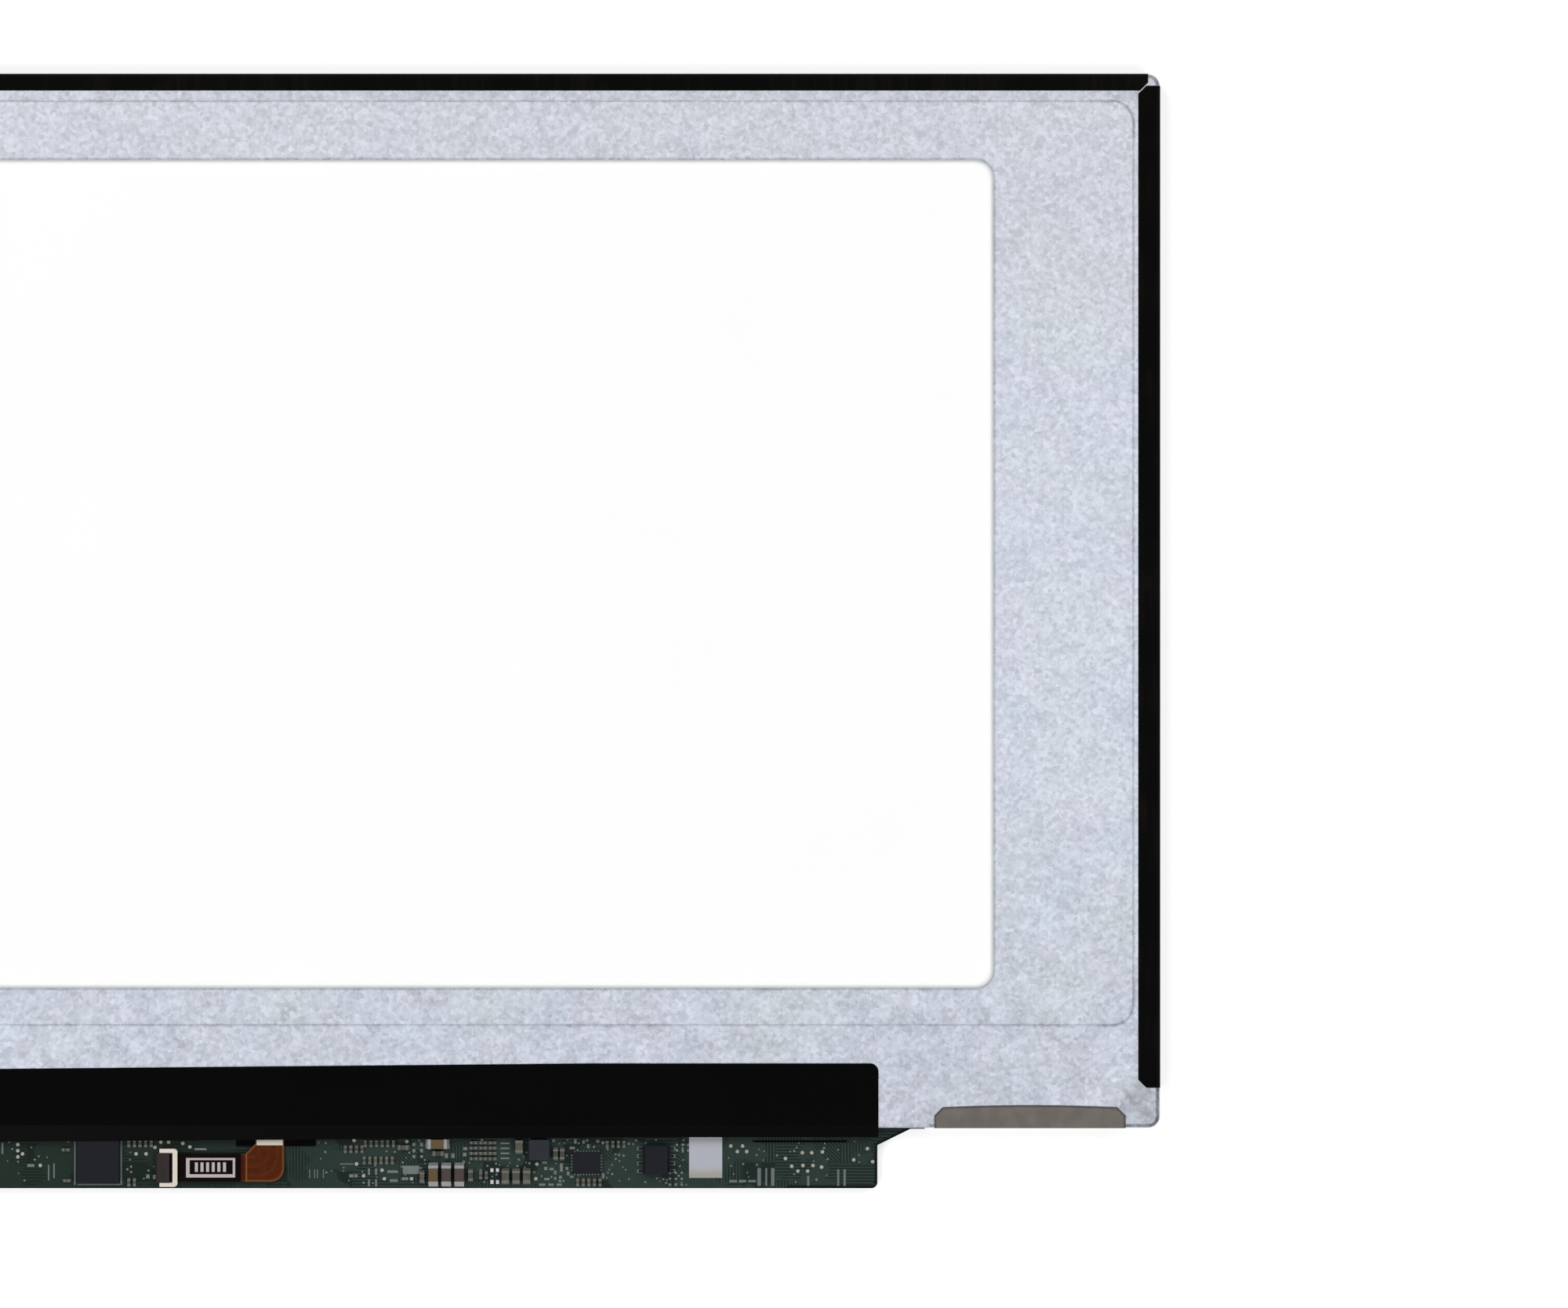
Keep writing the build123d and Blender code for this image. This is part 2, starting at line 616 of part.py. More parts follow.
def board_film_profile():
    """Film seen from the side: flat on the margin, over the bend, then sloping down to the board."""
    turn = math.radians(BOARD_FILM_ANGLE)
    radius = BEND + BOARD_FILM / 2
    bend_y = COVER_BOTTOM + BEND
    bend_z = MARGIN_BACK - BEND
    flat = MARGIN_BACK + BOARD_FILM / 2
    end_y = BOARD_BOTTOM + BOARD_EXPOSED - BOARD_FILM_LOWER_SLANT - PAST
    leave_y = bend_y - radius * math.sin(turn)
    leave_z = bend_z + radius * math.cos(turn)
    end_z = leave_z - (leave_y - end_y) * math.tan(turn)
    start = Line((COVER_BOTTOM + BOARD_FILM_LAP, flat), (bend_y, flat))
    over = CenterArc((bend_y, bend_z), radius, 90, BOARD_FILM_ANGLE)
    slope = Line((leave_y, leave_z), (end_y, end_z))
    return trace([start, over, slope], BOARD_FILM)


def board_cover_film():
    """Black film from the margin out over the top of the board, both long edges a little slanted."""
    film = across(board_film_profile(), -FILM_SIDE, FILM_SIDE)
    top = COVER_BOTTOM + BOARD_FILM_LAP
    bottom = BOARD_BOTTOM + BOARD_EXPOSED
    points = [
        (FILM_SIDE, bottom),
        (FILM_SIDE, top),
        (FILM_SIDE - BOARD_FILM_LEVEL, top),
        (-FILM_SIDE, top - BOARD_FILM_SLANT),
        (-FILM_SIDE, bottom - BOARD_FILM_LOWER_SLANT),
        (FILM_SIDE - BOARD_FILM_LOWER_LEVEL, bottom),
    ]
    plan = closed(points)
    right_corner = plan.vertices().sort_by_distance((FILM_SIDE, top))[0]
    left_corner = plan.vertices().sort_by_distance((-FILM_SIDE, top - BOARD_FILM_SLANT))[0]
    plan = fillet([right_corner, left_corner], BOARD_FILM_CORNER)
    return film & upright(plan, BOARD_FRONT, MARGIN_BACK + PAST)


def front_film():
    """Black film over the source films on the display side."""
    level = BOND_LEVEL - SOURCE_FILM - FRONT_FILM
    bottom = BOARD_TOP - FRONT_FILM_LAP
    return layer(BOARD_SIDE, bottom, FILTER_BOTTOM - FRONT_FILM_GAP, level, FRONT_FILM)


def at_zif(piece):
    """Set a piece at the flip-lock connector: its front face at X = 0 and the board's back at Z = 0."""
    return Pos(ZIF_FACE, ZIF_MIDDLE, BOARD_BACK) * piece


def zif_housing():
    """White housing: floor, slotted front bar and two ears with blind bores for the lock's pins."""
    half = ZIF_LENGTH / 2
    body = block(-ZIF_DEPTH, 0, -half, half, 0, ZIF_HEIGHT)
    body = fillet(body.edges().filter_by(Axis.Z).group_by(Axis.X)[-1], ZIF_CORNER)
    slot_half = TAIL_LEG / 2 + ZIF_FLEX_FIT
    slot_low = ZIF_FLEX_RISE - ZIF_FLEX_FIT
    slot_high = ZIF_FLEX_RISE + FLEX + ZIF_FLEX_FIT
    slot = block(-ZIF_BAR - PAST, PAST, -slot_half, slot_half, slot_low, slot_high)
    bore_reach = half - ZIF_EAR + LOCK_PIN_REACH + LOCK_PIN_FIT
    axis = Pos(-LOCK_AXIS_BACK, 0, LOCK_AXIS_RISE) * Rot(90, 0, 0)
    bores = axis * Cylinder(LOCK_PIN + LOCK_PIN_FIT, 2 * bore_reach)
    inner = half - ZIF_EAR
    inside = block(-ZIF_DEPTH - PAST, -ZIF_BAR, -inner, inner, ZIF_FLOOR, ZIF_HEIGHT + PAST)
    return at_zif(body - inside - slot - bores)


def zif_lock():
    """Dark flip lock: a round barrel with a lever, turning on two pins in the housing's ears."""
    half = ZIF_LENGTH / 2 - ZIF_EAR - LOCK_FIT
    lever_points = [
        (0, -LOCK_BELOW),
        (0, LOCK_ABOVE),
        (-LOCK_REACH + LOCK_BEVEL, LOCK_ABOVE),
        (-LOCK_REACH, LOCK_ABOVE - LOCK_BEVEL),
        (-LOCK_REACH, -LOCK_BELOW),
    ]
    lever = extrude(Plane.XZ * closed(lever_points), half, both=True)
    turned = Rot(90, 0, 0)
    barrel = turned * Cylinder(LOCK_BARREL, 2 * half)
    pins = turned * Cylinder(LOCK_PIN, 2 * (half + LOCK_FIT + LOCK_PIN_REACH))
    return at_zif(Pos(-LOCK_AXIS_BACK, 0, LOCK_AXIS_RISE) * (lever + barrel + pins))


def zif_contacts():
    """Stamped contacts: a beam on the connector's floor, down its rear face to a foot on the board."""
    rear = -ZIF_DEPTH
    tip = -LOCK_AXIS_BACK + LOCK_PIN
    points = [
        (tip, ZIF_FLOOR),
        (tip, ZIF_FLOOR + ZIF_CONTACT),
        (rear - ZIF_CONTACT, ZIF_FLOOR + ZIF_CONTACT),
        (rear - ZIF_CONTACT, ZIF_CONTACT),
        (rear - ZIF_TAIL, ZIF_CONTACT),
        (rear - ZIF_TAIL, 0),
        (rear, 0),
        (rear, ZIF_FLOOR),
    ]
    contact = extrude(Plane.XZ * closed(points), ZIF_CONTACT_WIDTH / 2, both=True)
    return [at_zif(place * contact) for place in GridLocations(1, ZIF_PITCH, 1, ZIF_CONTACTS)]


def at_video(piece):
    """Set a piece at the video connector: its mouth at Y = 0 and the board's back at Z = 0."""
    return Pos(VIDEO_INSET - BOARD_SIDE, BOARD_BOTTOM + VIDEO_SETBACK, BOARD_BACK) * piece


def video_contact_solids():
    """Contacts that lie on the tongue, pass through the rear wall and end in feet on the board."""
    tongue_back = VIDEO_TONGUE_RISE + VIDEO_TONGUE
    top = tongue_back + VIDEO_CONTACT
    rear = VIDEO_DEPTH
    points = [
        (VIDEO_TONGUE_SETBACK, tongue_back),
        (VIDEO_TONGUE_SETBACK, top),
        (rear + VIDEO_CONTACT, top),
        (rear + VIDEO_CONTACT, VIDEO_CONTACT),
        (rear + VIDEO_TAIL, VIDEO_CONTACT),
        (rear + VIDEO_TAIL, 0),
        (rear, 0),
        (rear, tongue_back),
    ]
    half = VIDEO_CONTACT_WIDTH / 2
    contact = across(closed(points), -half, half)
    return [place * contact for place in GridLocations(VIDEO_PITCH, 1, VIDEO_CONTACTS, 1)]


def video_housing():
    """Black housing: floor, end cheeks, rear wall and the tongue that carries the contacts."""
    half = VIDEO_LENGTH / 2
    roof = VIDEO_HEIGHT - VIDEO_SHELL
    housing = block(-half, half, 0, VIDEO_DEPTH, 0, roof)
    mouth_half = half - VIDEO_CHEEK
    inner = VIDEO_DEPTH - VIDEO_REAR
    housing -= block(-mouth_half, mouth_half, -PAST, inner, VIDEO_FLOOR, roof + PAST)
    tongue_back = VIDEO_TONGUE_RISE + VIDEO_TONGUE
    housing += block(-mouth_half, mouth_half, VIDEO_TONGUE_SETBACK, inner, VIDEO_TONGUE_RISE, tongue_back)
    return housing - video_contact_solids()


def video_shell():
    """Folded metal shell over the housing, with a soldered foot at each end."""
    half = VIDEO_LENGTH / 2
    outer = half + VIDEO_SHELL
    right = [
        (half, VIDEO_HEIGHT - VIDEO_SHELL),
        (half, 0),
        (outer + VIDEO_FOOT, 0),
        (outer + VIDEO_FOOT, VIDEO_SHELL),
        (outer, VIDEO_SHELL),
        (outer, VIDEO_HEIGHT),
    ]
    left = [(-x, z) for x, z in reversed(right)]
    return at_video(extrude(Plane.XZ * closed(right + left), -VIDEO_DEPTH))


def bevelled_package(length, width, height):
    """Moulded chip package with a bevelled top edge, standing on Z = 0."""
    body = block(-length / 2, length / 2, -width / 2, width / 2, 0, height)
    return chamfer(body.edges().group_by(Axis.Z)[-1], CHIP_BEVEL)


def power_inductor():
    """Square moulded inductor with rounded corners."""
    plan = RectangleRounded(INDUCTOR_SIDE, INDUCTOR_SIDE, INDUCTOR_CORNER)
    body = upright(plan, 0, INDUCTOR_HEIGHT)
    return on_board(INDUCTOR_PLACE, chamfer(body.edges().group_by(Axis.Z)[-1], CHIP_BEVEL))


def memory_chip():
    """Eight-lead memory: moulded body with gull-wing leads at its two long sides."""
    body = Pos(0, 0, MEMORY_STAND) * bevelled_package(MEMORY_WIDTH, MEMORY_LENGTH, MEMORY_HEIGHT)
    side = MEMORY_WIDTH / 2
    toe = side + LEAD_REACH
    heel = toe - LEAD_FOOT
    points = [(side, LEAD_RISE), (heel, LEAD_RISE), (heel, LEAD / 2), (toe, LEAD / 2)]
    lead = extrude(Plane.XZ * trace(Polyline(*points), LEAD), LEAD_WIDTH / 2, both=True)
    for place in GridLocations(1, LEAD_PITCH, 1, LEADS_A_SIDE):
        body += place * lead
        body += place * mirror(lead, Plane.YZ)
    return on_board(MEMORY_PLACE, body)


def chip(size):
    """Chip capacitor or resistor along X: a body between two slightly thicker end caps."""
    length, width, height = size
    side = width / 2
    body_side = side - CHIP_END_PROUD
    body = block(-length / 2, length / 2, -body_side, body_side, CHIP_END_PROUD, height - CHIP_END_PROUD)
    end = block(length / 2 - CHIP_END, length / 2, -side, side, 0, height)
    return body + end + mirror(end, Plane.YZ)


def tiny_chip():
    """Smallest chip along X, with ends too thin to stand proud."""
    length, width, height = SIZE_0402
    return block(-length / 2, length / 2, -width / 2, width / 2, 0, height)


def chips(flat, upright_places, flat_places):
    """Copies of a chip drawn along X: upright ones turned along Y, flat ones as drawn."""
    turned = Rot(0, 0, 90) * flat
    pieces = [on_board(place, turned) for place in upright_places]
    return pieces + [on_board(place, flat) for place in flat_places]


def row_places(rows, pitch):
    """Places a pitch apart along rows that are given as a first place and a length."""
    places = []
    for (x, y), length in rows:
        count = round(length / pitch) + 1
        places += [(x + i * pitch, y) for i in range(count)]
    return places


def board_label():
    """Blank white label on the board."""
    plan = Rectangle(LABEL_WIDTH, LABEL_HEIGHT)
    return on_board(LABEL_PLACE, upright(plan, 0, LABEL))


def all_parts():
    """Every node of the panel by name: one solid, or a list of like solids."""
    glass = {
        "front_polariser": layer(POLARISER_SIDE, POLARISER_BOTTOM, POLARISER_TOP, 0, POLARISER),
        "colour_filter_glass": layer(GLASS_SIDE, FILTER_BOTTOM, GLASS_TOP, GLASS_FRONT, GLASS),
        "array_glass": layer(GLASS_SIDE, ARRAY_BOTTOM, GLASS_TOP, BOND_LEVEL, GLASS),
        "rear_polariser": layer(POLARISER_SIDE, POLARISER_BOTTOM, POLARISER_TOP, GLASS_BACK, POLARISER),
        "rim_tape": rim_tape(),
    }
    backlight = {
        "mould_frame": mould_frame(),
        "upper_diffuser": optical_sheet(LEDGE_BACK, UPPER_DIFFUSER),
        "upper_prism_sheet": optical_sheet(UPPER_PRISM_LEVEL, PRISM_SHEET),
        "lower_prism_sheet": optical_sheet(LOWER_PRISM_LEVEL, PRISM_SHEET),
        "lower_diffuser": optical_sheet(LOWER_DIFFUSER_LEVEL, LOWER_DIFFUSER),
        "light_guide": layer(SHEETS_SIDE, GUIDE_BOTTOM, SHEETS_TOP, GUIDE_LEVEL, LIGHT_GUIDE),
        "reflector_sheet": layer(SHEETS_SIDE, GUIDE_BOTTOM, SHEETS_TOP, REFLECTOR_LEVEL, REFLECTOR),
        "light_bar_flex": light_bar_flex(),
        "leds": leds(),
        "back_cover": back_cover(),
    }
    right_tape = right_edge_tape()
    skins = {
        "top_edge_tape": top_edge_tape(),
        "right_edge_tape": right_tape,
        "left_edge_tape": mirror(right_tape, Plane.YZ),
        "ground_tape": ground_tape(),
        "board_cover_film": board_cover_film(),
        "front_film": front_film(),
        "tail_tape": tail_tape(),
    }
    timing = bevelled_package(TIMING_SIDE, TIMING_SIDE, TIMING_HEIGHT)
    power = bevelled_package(POWER_LENGTH, POWER_WIDTH, POWER_HEIGHT)
    small_upright = row_places(ROWS_0402_UPRIGHT, UPRIGHT_PITCH)
    small_flat = row_places(ROWS_0402_FLAT, FLAT_PITCH)
    electronics = {
        "source_films": source_films(),
        "driver_chips": driver_chips(),
        "control_board": control_board(),
        "timing_controller": on_board(TIMING_PLACE, timing),
        "power_chip": on_board(POWER_PLACE, power),
        "power_inductor": power_inductor(),
        "memory_chip": memory_chip(),
        "capacitors_1206": chips(chip(SIZE_1206), CAPS_1206_UPRIGHT, CAPS_1206_FLAT),
        "capacitors_0805": chips(chip(SIZE_0805), CAPS_0805_UPRIGHT, []),
        "capacitors_0603": chips(chip(SIZE_0603), CAPS_0603_UPRIGHT, CAPS_0603_FLAT),
        "chips_0402": chips(tiny_chip(), small_upright, small_flat),
        "board_label": board_label(),
    }
    connectors = {
        "led_connector_housing": zif_housing(),
        "led_connector_lock": zif_lock(),
        "led_connector_contacts": zif_contacts(),
        "video_connector_housing": at_video(video_housing()),
        "video_connector_shell": video_shell(),
        "video_connector_contacts": [at_video(contact) for contact in video_contact_solids()],
    }
    return glass | backlight | skins | electronics | connectors


os.makedirs("parts", exist_ok=True)
for name, shape in all_parts().items():
    solid = Compound(children=shape) if isinstance(shape, list) else shape
    export_step(solid, f"parts/{name}.step")
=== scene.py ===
"""Looks of a slim laptop screen panel, lying face down and seen from straight above its back."""
import math
import random

import bmesh
import bpy
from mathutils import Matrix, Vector


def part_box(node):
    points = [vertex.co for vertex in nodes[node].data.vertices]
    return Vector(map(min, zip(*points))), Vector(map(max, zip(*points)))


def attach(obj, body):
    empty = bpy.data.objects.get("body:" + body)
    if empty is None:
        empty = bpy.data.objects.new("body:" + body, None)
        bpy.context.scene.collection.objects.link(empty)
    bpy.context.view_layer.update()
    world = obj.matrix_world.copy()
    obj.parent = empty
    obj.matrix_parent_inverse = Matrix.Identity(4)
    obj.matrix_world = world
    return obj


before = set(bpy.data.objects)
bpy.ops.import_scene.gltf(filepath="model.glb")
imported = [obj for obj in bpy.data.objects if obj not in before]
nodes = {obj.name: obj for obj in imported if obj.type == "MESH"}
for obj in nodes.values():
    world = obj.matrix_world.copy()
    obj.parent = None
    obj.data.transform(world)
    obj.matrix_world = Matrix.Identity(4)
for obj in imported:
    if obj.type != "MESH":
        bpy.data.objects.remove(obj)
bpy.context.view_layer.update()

# Lengths below are in millimetres, and MM turns them into the frame's metres
MM = 0.001

# View from straight above: middle and width of what the camera sees
VIEW_MIDDLE = (89.5, -3.85)
VIEW_WIDTH = 264.8
LENS = 180.0
SENSOR = 36.0

# Studio: four soft lamps round the view, a weak even sky and a pale floor
LAMP_COUNT = 4
LAMP_FIRST = 45.0
LAMP_DISTANCE = 1000.0
LAMP_TILT = 50.0
LAMP_SIZE = 620.0
LAMP_WATTS = 3.9
SKY_LEVEL = 0.1
FLOOR_SIZE = 12000.0
FLOOR_DROP = 0.15
FLOOR_TONE = 0.75
FLOOR_GLOW = 0.48

# Pressed lines of the back cover: how far in from its edges they lie, and the radii of their corners
RING_SIDE = 4.4
RING_TOP = 4.5
RING_BOTTOM = 17.3
RING_CORNER = 3.8
RING_TURN = 10.0
WINDOW_SIDE = 28.1
WINDOW_TOP = 14.5
WINDOW_BOTTOM = 23.6
WINDOW_CORNER = 3.2
COVER_CORNER = 2.0
BEND_LINE = 0.42

# Painted shade in the cover's rounded corners and a painted highlight along a crease at its lower corners,
# and where its lower wall, and the painted shade of its bend, begins short of the ground tape
DRAWN_CORNER = 18.0
CREASE_SIDE = 10.4
CREASE_CORNER = 5.0
WALL_START = 1.2
WALL_FULL = 0.7

# Steel's painted lines, shade along the pressed line, window edge and outer bend and a highlight along the
# crease: distance from their middle up to which they are full, and at which they end
PRESSED_LINE = (0.08, 0.5)
CUT_LINE = (0.1, 0.5)
BENT_LINE = (0.1, 0.4)
CREASE_LINE = (0.15, 0.6)

# Upper ledge of the steel: how far past the ring's line its painted shade starts, and is full
LEDGE_START = 0.1
LEDGE_FULL = 0.5

# How far in from its lower and upper edges the steel's painted shade is full, and where it ends
SHADE_LOW = 4.0
SHADE_LOW_REACH = 70.0
SHADE_HIGH = 12.0
SHADE_HIGH_REACH = 65.0

# Sizes in the steel's texture
SPANGLE_SIZE = 0.7
GRAIN_SIZE = 0.8
BLOTCH_SIZE = 4.0
CLOUD_SIZE = 7.0
DRIFT_SIZE = 16.0

# X of the board's end, and the gusset past it: its rise there and its slope
BOARD_END = 105.3
GUSSET_RISE = 7.29
GUSSET_SLOPE = 0.49

# Board's tracks: blocks that share a direction, tracks along a millimetre, and the bare share between them
TRACK_BLOCK = (5.5, 3.1, 50.0)
TRACKS = 1.9
SLANTED_TRACKS = 1.5
TRACK_GAP = 0.55

# X at which the board starts to turn paler towards its busy half, and at which it is palest
BUSY_START = -10.0
BUSY_FULL = 25.0

# Light bar's flex: rises of its leg's two edges, its margin round the tail tape, and its corners
FLEX_LEG_RISE = 5.85
FLEX_EDGE_RISE = 1.15
FLEX_MARGIN = 0.2
FLEX_CORNER = 2.2
FLEX_NOTCH = 1.7

# X where the flex's dark cover and its dusky stretch end, its seam, and the rise up to which they are drawn
FLEX_COVER_END = -2.3
FLEX_DUSK_END = -1.6
FLEX_SEAM = -1.4
FLEX_SHOWS = 12.0

# A length that is past every end of the flex
STRIP_REACH = 200.0

# Display's cells along a millimetre, and the share of a cell that its line takes
CELLS = 4
CELL_LINE = 0.12

# Depth by which small pieces are let into the board, height of print, and distance at which points are one
SUNK = 0.01
PRINT_HEIGHT = 0.02
TOUCHING = 0.001


def corners(node):
    """Lowest and highest corner of a CAD node in millimetres."""
    low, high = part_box(node)
    return low / MM, high / MM


# Places read from the CAD nodes
COVER_LOW, COVER_HIGH = corners("back_cover")
BOARD_LOW, BOARD_HIGH = corners("control_board")
BOARD_EDGE = BOARD_LOW.y
BOARD_TOP = BOARD_HIGH.z
TAIL_LOW, TAIL_HIGH = corners("tail_tape")
FLEX_TOP = TAIL_LOW.z
LABEL_EDGE = corners("board_label")[0].y
GROUND_LOW, GROUND_HIGH = corners("ground_tape")

# Ground tape: how its upper edge falls off towards the ends and its cut corners, which its painted edge
# shade follows, and its weave in radians a mm
GROUND_BOW = 0.0016
GROUND_CHAMFER = 1.4
WEAVE = 26

# Large chip capacitors are mauve-grey past this X and below this rise, and tan elsewhere
TAN_ENDS = 31.3
GREYISH_RISE = 5.0


def srgb(red, green, blue):
    """Linear colour of a plain 0 to 255 one."""
    def linear(value):
        share = value / 255
        return share / 12.92 if share <= 0.04045 else ((share + 0.055) / 1.055) ** 2.4
    return (linear(red), linear(green), linear(blue), 1.0)


def darker(tone, share):
    """Linear colour of a plain one at a share of its level."""
    return srgb(*(value * share for value in tone))


class Shade:
    """One output in a node tree: arithmetic on it adds Math nodes, and add() adds any other node."""

    def __init__(self, tree, output=None):
        self.tree = tree
        self.output = output

    def add(self, kind, settings=None, inputs=None, output=0):
        """New node of a kind: its settings first, then values or links for its sockets."""
        node = self.tree.nodes.new(kind)
        for name, value in (settings or {}).items():
            setattr(node, name, value)
        for socket, value in (inputs or {}).items():
            if isinstance(value, Shade):
                self.tree.links.new(value.output, node.inputs[socket])
            else:
                node.inputs[socket].default_value = value
        return Shade(self.tree, node.outputs[output])

    def feed(self, shader, socket):
        """Link this output to a socket of a shader."""
        self.tree.links.new(self.output, shader.inputs[socket])

    def math(self, operation, *values):
        return self.add("ShaderNodeMath", {"operation": operation}, dict(enumerate(values)))

    def vector(self, operation, *values, output=0):
        return self.add("ShaderNodeVectorMath", {"operation": operation}, dict(enumerate(values)), output)

    def __add__(self, other):
        return self.math("ADD", self, other)

    __radd__ = __add__

    def __sub__(self, other):
        return self.math("SUBTRACT", self, other)

    def __rsub__(self, other):
        return self.math("SUBTRACT", other, self)

    def __mul__(self, other):
        return self.math("MULTIPLY", self, other)

    __rmul__ = __mul__

    def __lt__(self, other):
        return self.math("LESS_THAN", self, other)

    def __gt__(self, other):
        return self.math("GREATER_THAN", self, other)

    def __abs__(self):
        return self.math("ABSOLUTE", self)

    def most(self, other):
        return self.math("MAXIMUM", self, other)

    def least(self, other):
        return self.math("MINIMUM", self, other)

    def wave(self):
        return self.math("SINE", self)

    def wrapped(self):
        """What is left after the whole number below."""
        return self.math("FRACT", self)

    def fade(self, start, end):
        """Smooth step from 0 at start to 1 at end."""
        ends = {"Value": self, "From Min": start, "From Max": end}
        return self.add("ShaderNodeMapRange", {"interpolation_type": "SMOOTHSTEP"}, ends)

    def axes(self):
        """The X, Y and Z of a vector."""
        split = self.add("ShaderNodeSeparateXYZ", None, {0: self})
        return [Shade(self.tree, output) for output in split.output.node.outputs]

    def noise(self, size, detail=2.0, rough=0.5, stretch=(1, 1, 1), bend=0.0):
        """Soft noise with features of a size, for a place in millimetres."""
        place = self.vector("DIVIDE", self, tuple(size * s for s in stretch))
        inputs = {"Vector": place, "Scale": 1.0, "Detail": detail, "Roughness": rough, "Distortion": bend}
        return self.add("ShaderNodeTexNoise", None, inputs)

    def cells(self, size):
        """Random colours of cells of a size, for a place in millimetres."""
        inputs = {"Vector": self.vector("DIVIDE", self, (size, size, size)), "Scale": 1.0}
        return self.add("ShaderNodeTexVoronoi", None, inputs, "Color")

    def tint(self, start, end):
        """Colour between two, by this factor."""
        return self.add("ShaderNodeMix", {"data_type": "RGBA"}, {0: self, 6: start, 7: end}, 2)

    def lit(self, factor):
        """This colour made darker or lighter by a factor."""
        return self.add("ShaderNodeVectorMath", {"operation": "SCALE"}, {0: self, "Scale": factor})

    def bump(self, depth):
        """Normal of a relief whose height is this value times a depth in millimetres."""
        return self.add("ShaderNodeBump", None, {"Strength": 1.0, "Distance": depth * MM, "Height": self})


def surface(name, constants):
    """New material: it, its Principled shader and the place on the piece in millimetres."""
    material = bpy.data.materials.new(name)
    material.use_nodes = True
    shader = material.node_tree.nodes["Principled BSDF"]
    for socket, value in constants.items():
        shader.inputs[socket].default_value = value
    tree = Shade(material.node_tree)
    place = tree.add("ShaderNodeTexCoord", output="Object")
    return material, shader, tree.vector("DIVIDE", place, (MM, MM, MM))


def outline_distance(place, left, right, low, high, corner):
    """Distance outside a rounded rectangle drawn in X and Y, below zero inside it."""
    middle = ((left + right) / 2, (low + high) / 2, 0)
    reach = ((right - left) / 2 - corner, (high - low) / 2 - corner, 0)
    flat = place.vector("MULTIPLY", place.vector("SUBTRACT", place, middle), (1, 1, 0))
    away = place.vector("SUBTRACT", place.vector("ABSOLUTE", flat), reach)
    outside = place.vector("LENGTH", place.vector("MAXIMUM", away, (0, 0, 0)), output="Value")
    x, y, z = away.axes()
    return outside + x.most(y).least(0.0) - corner


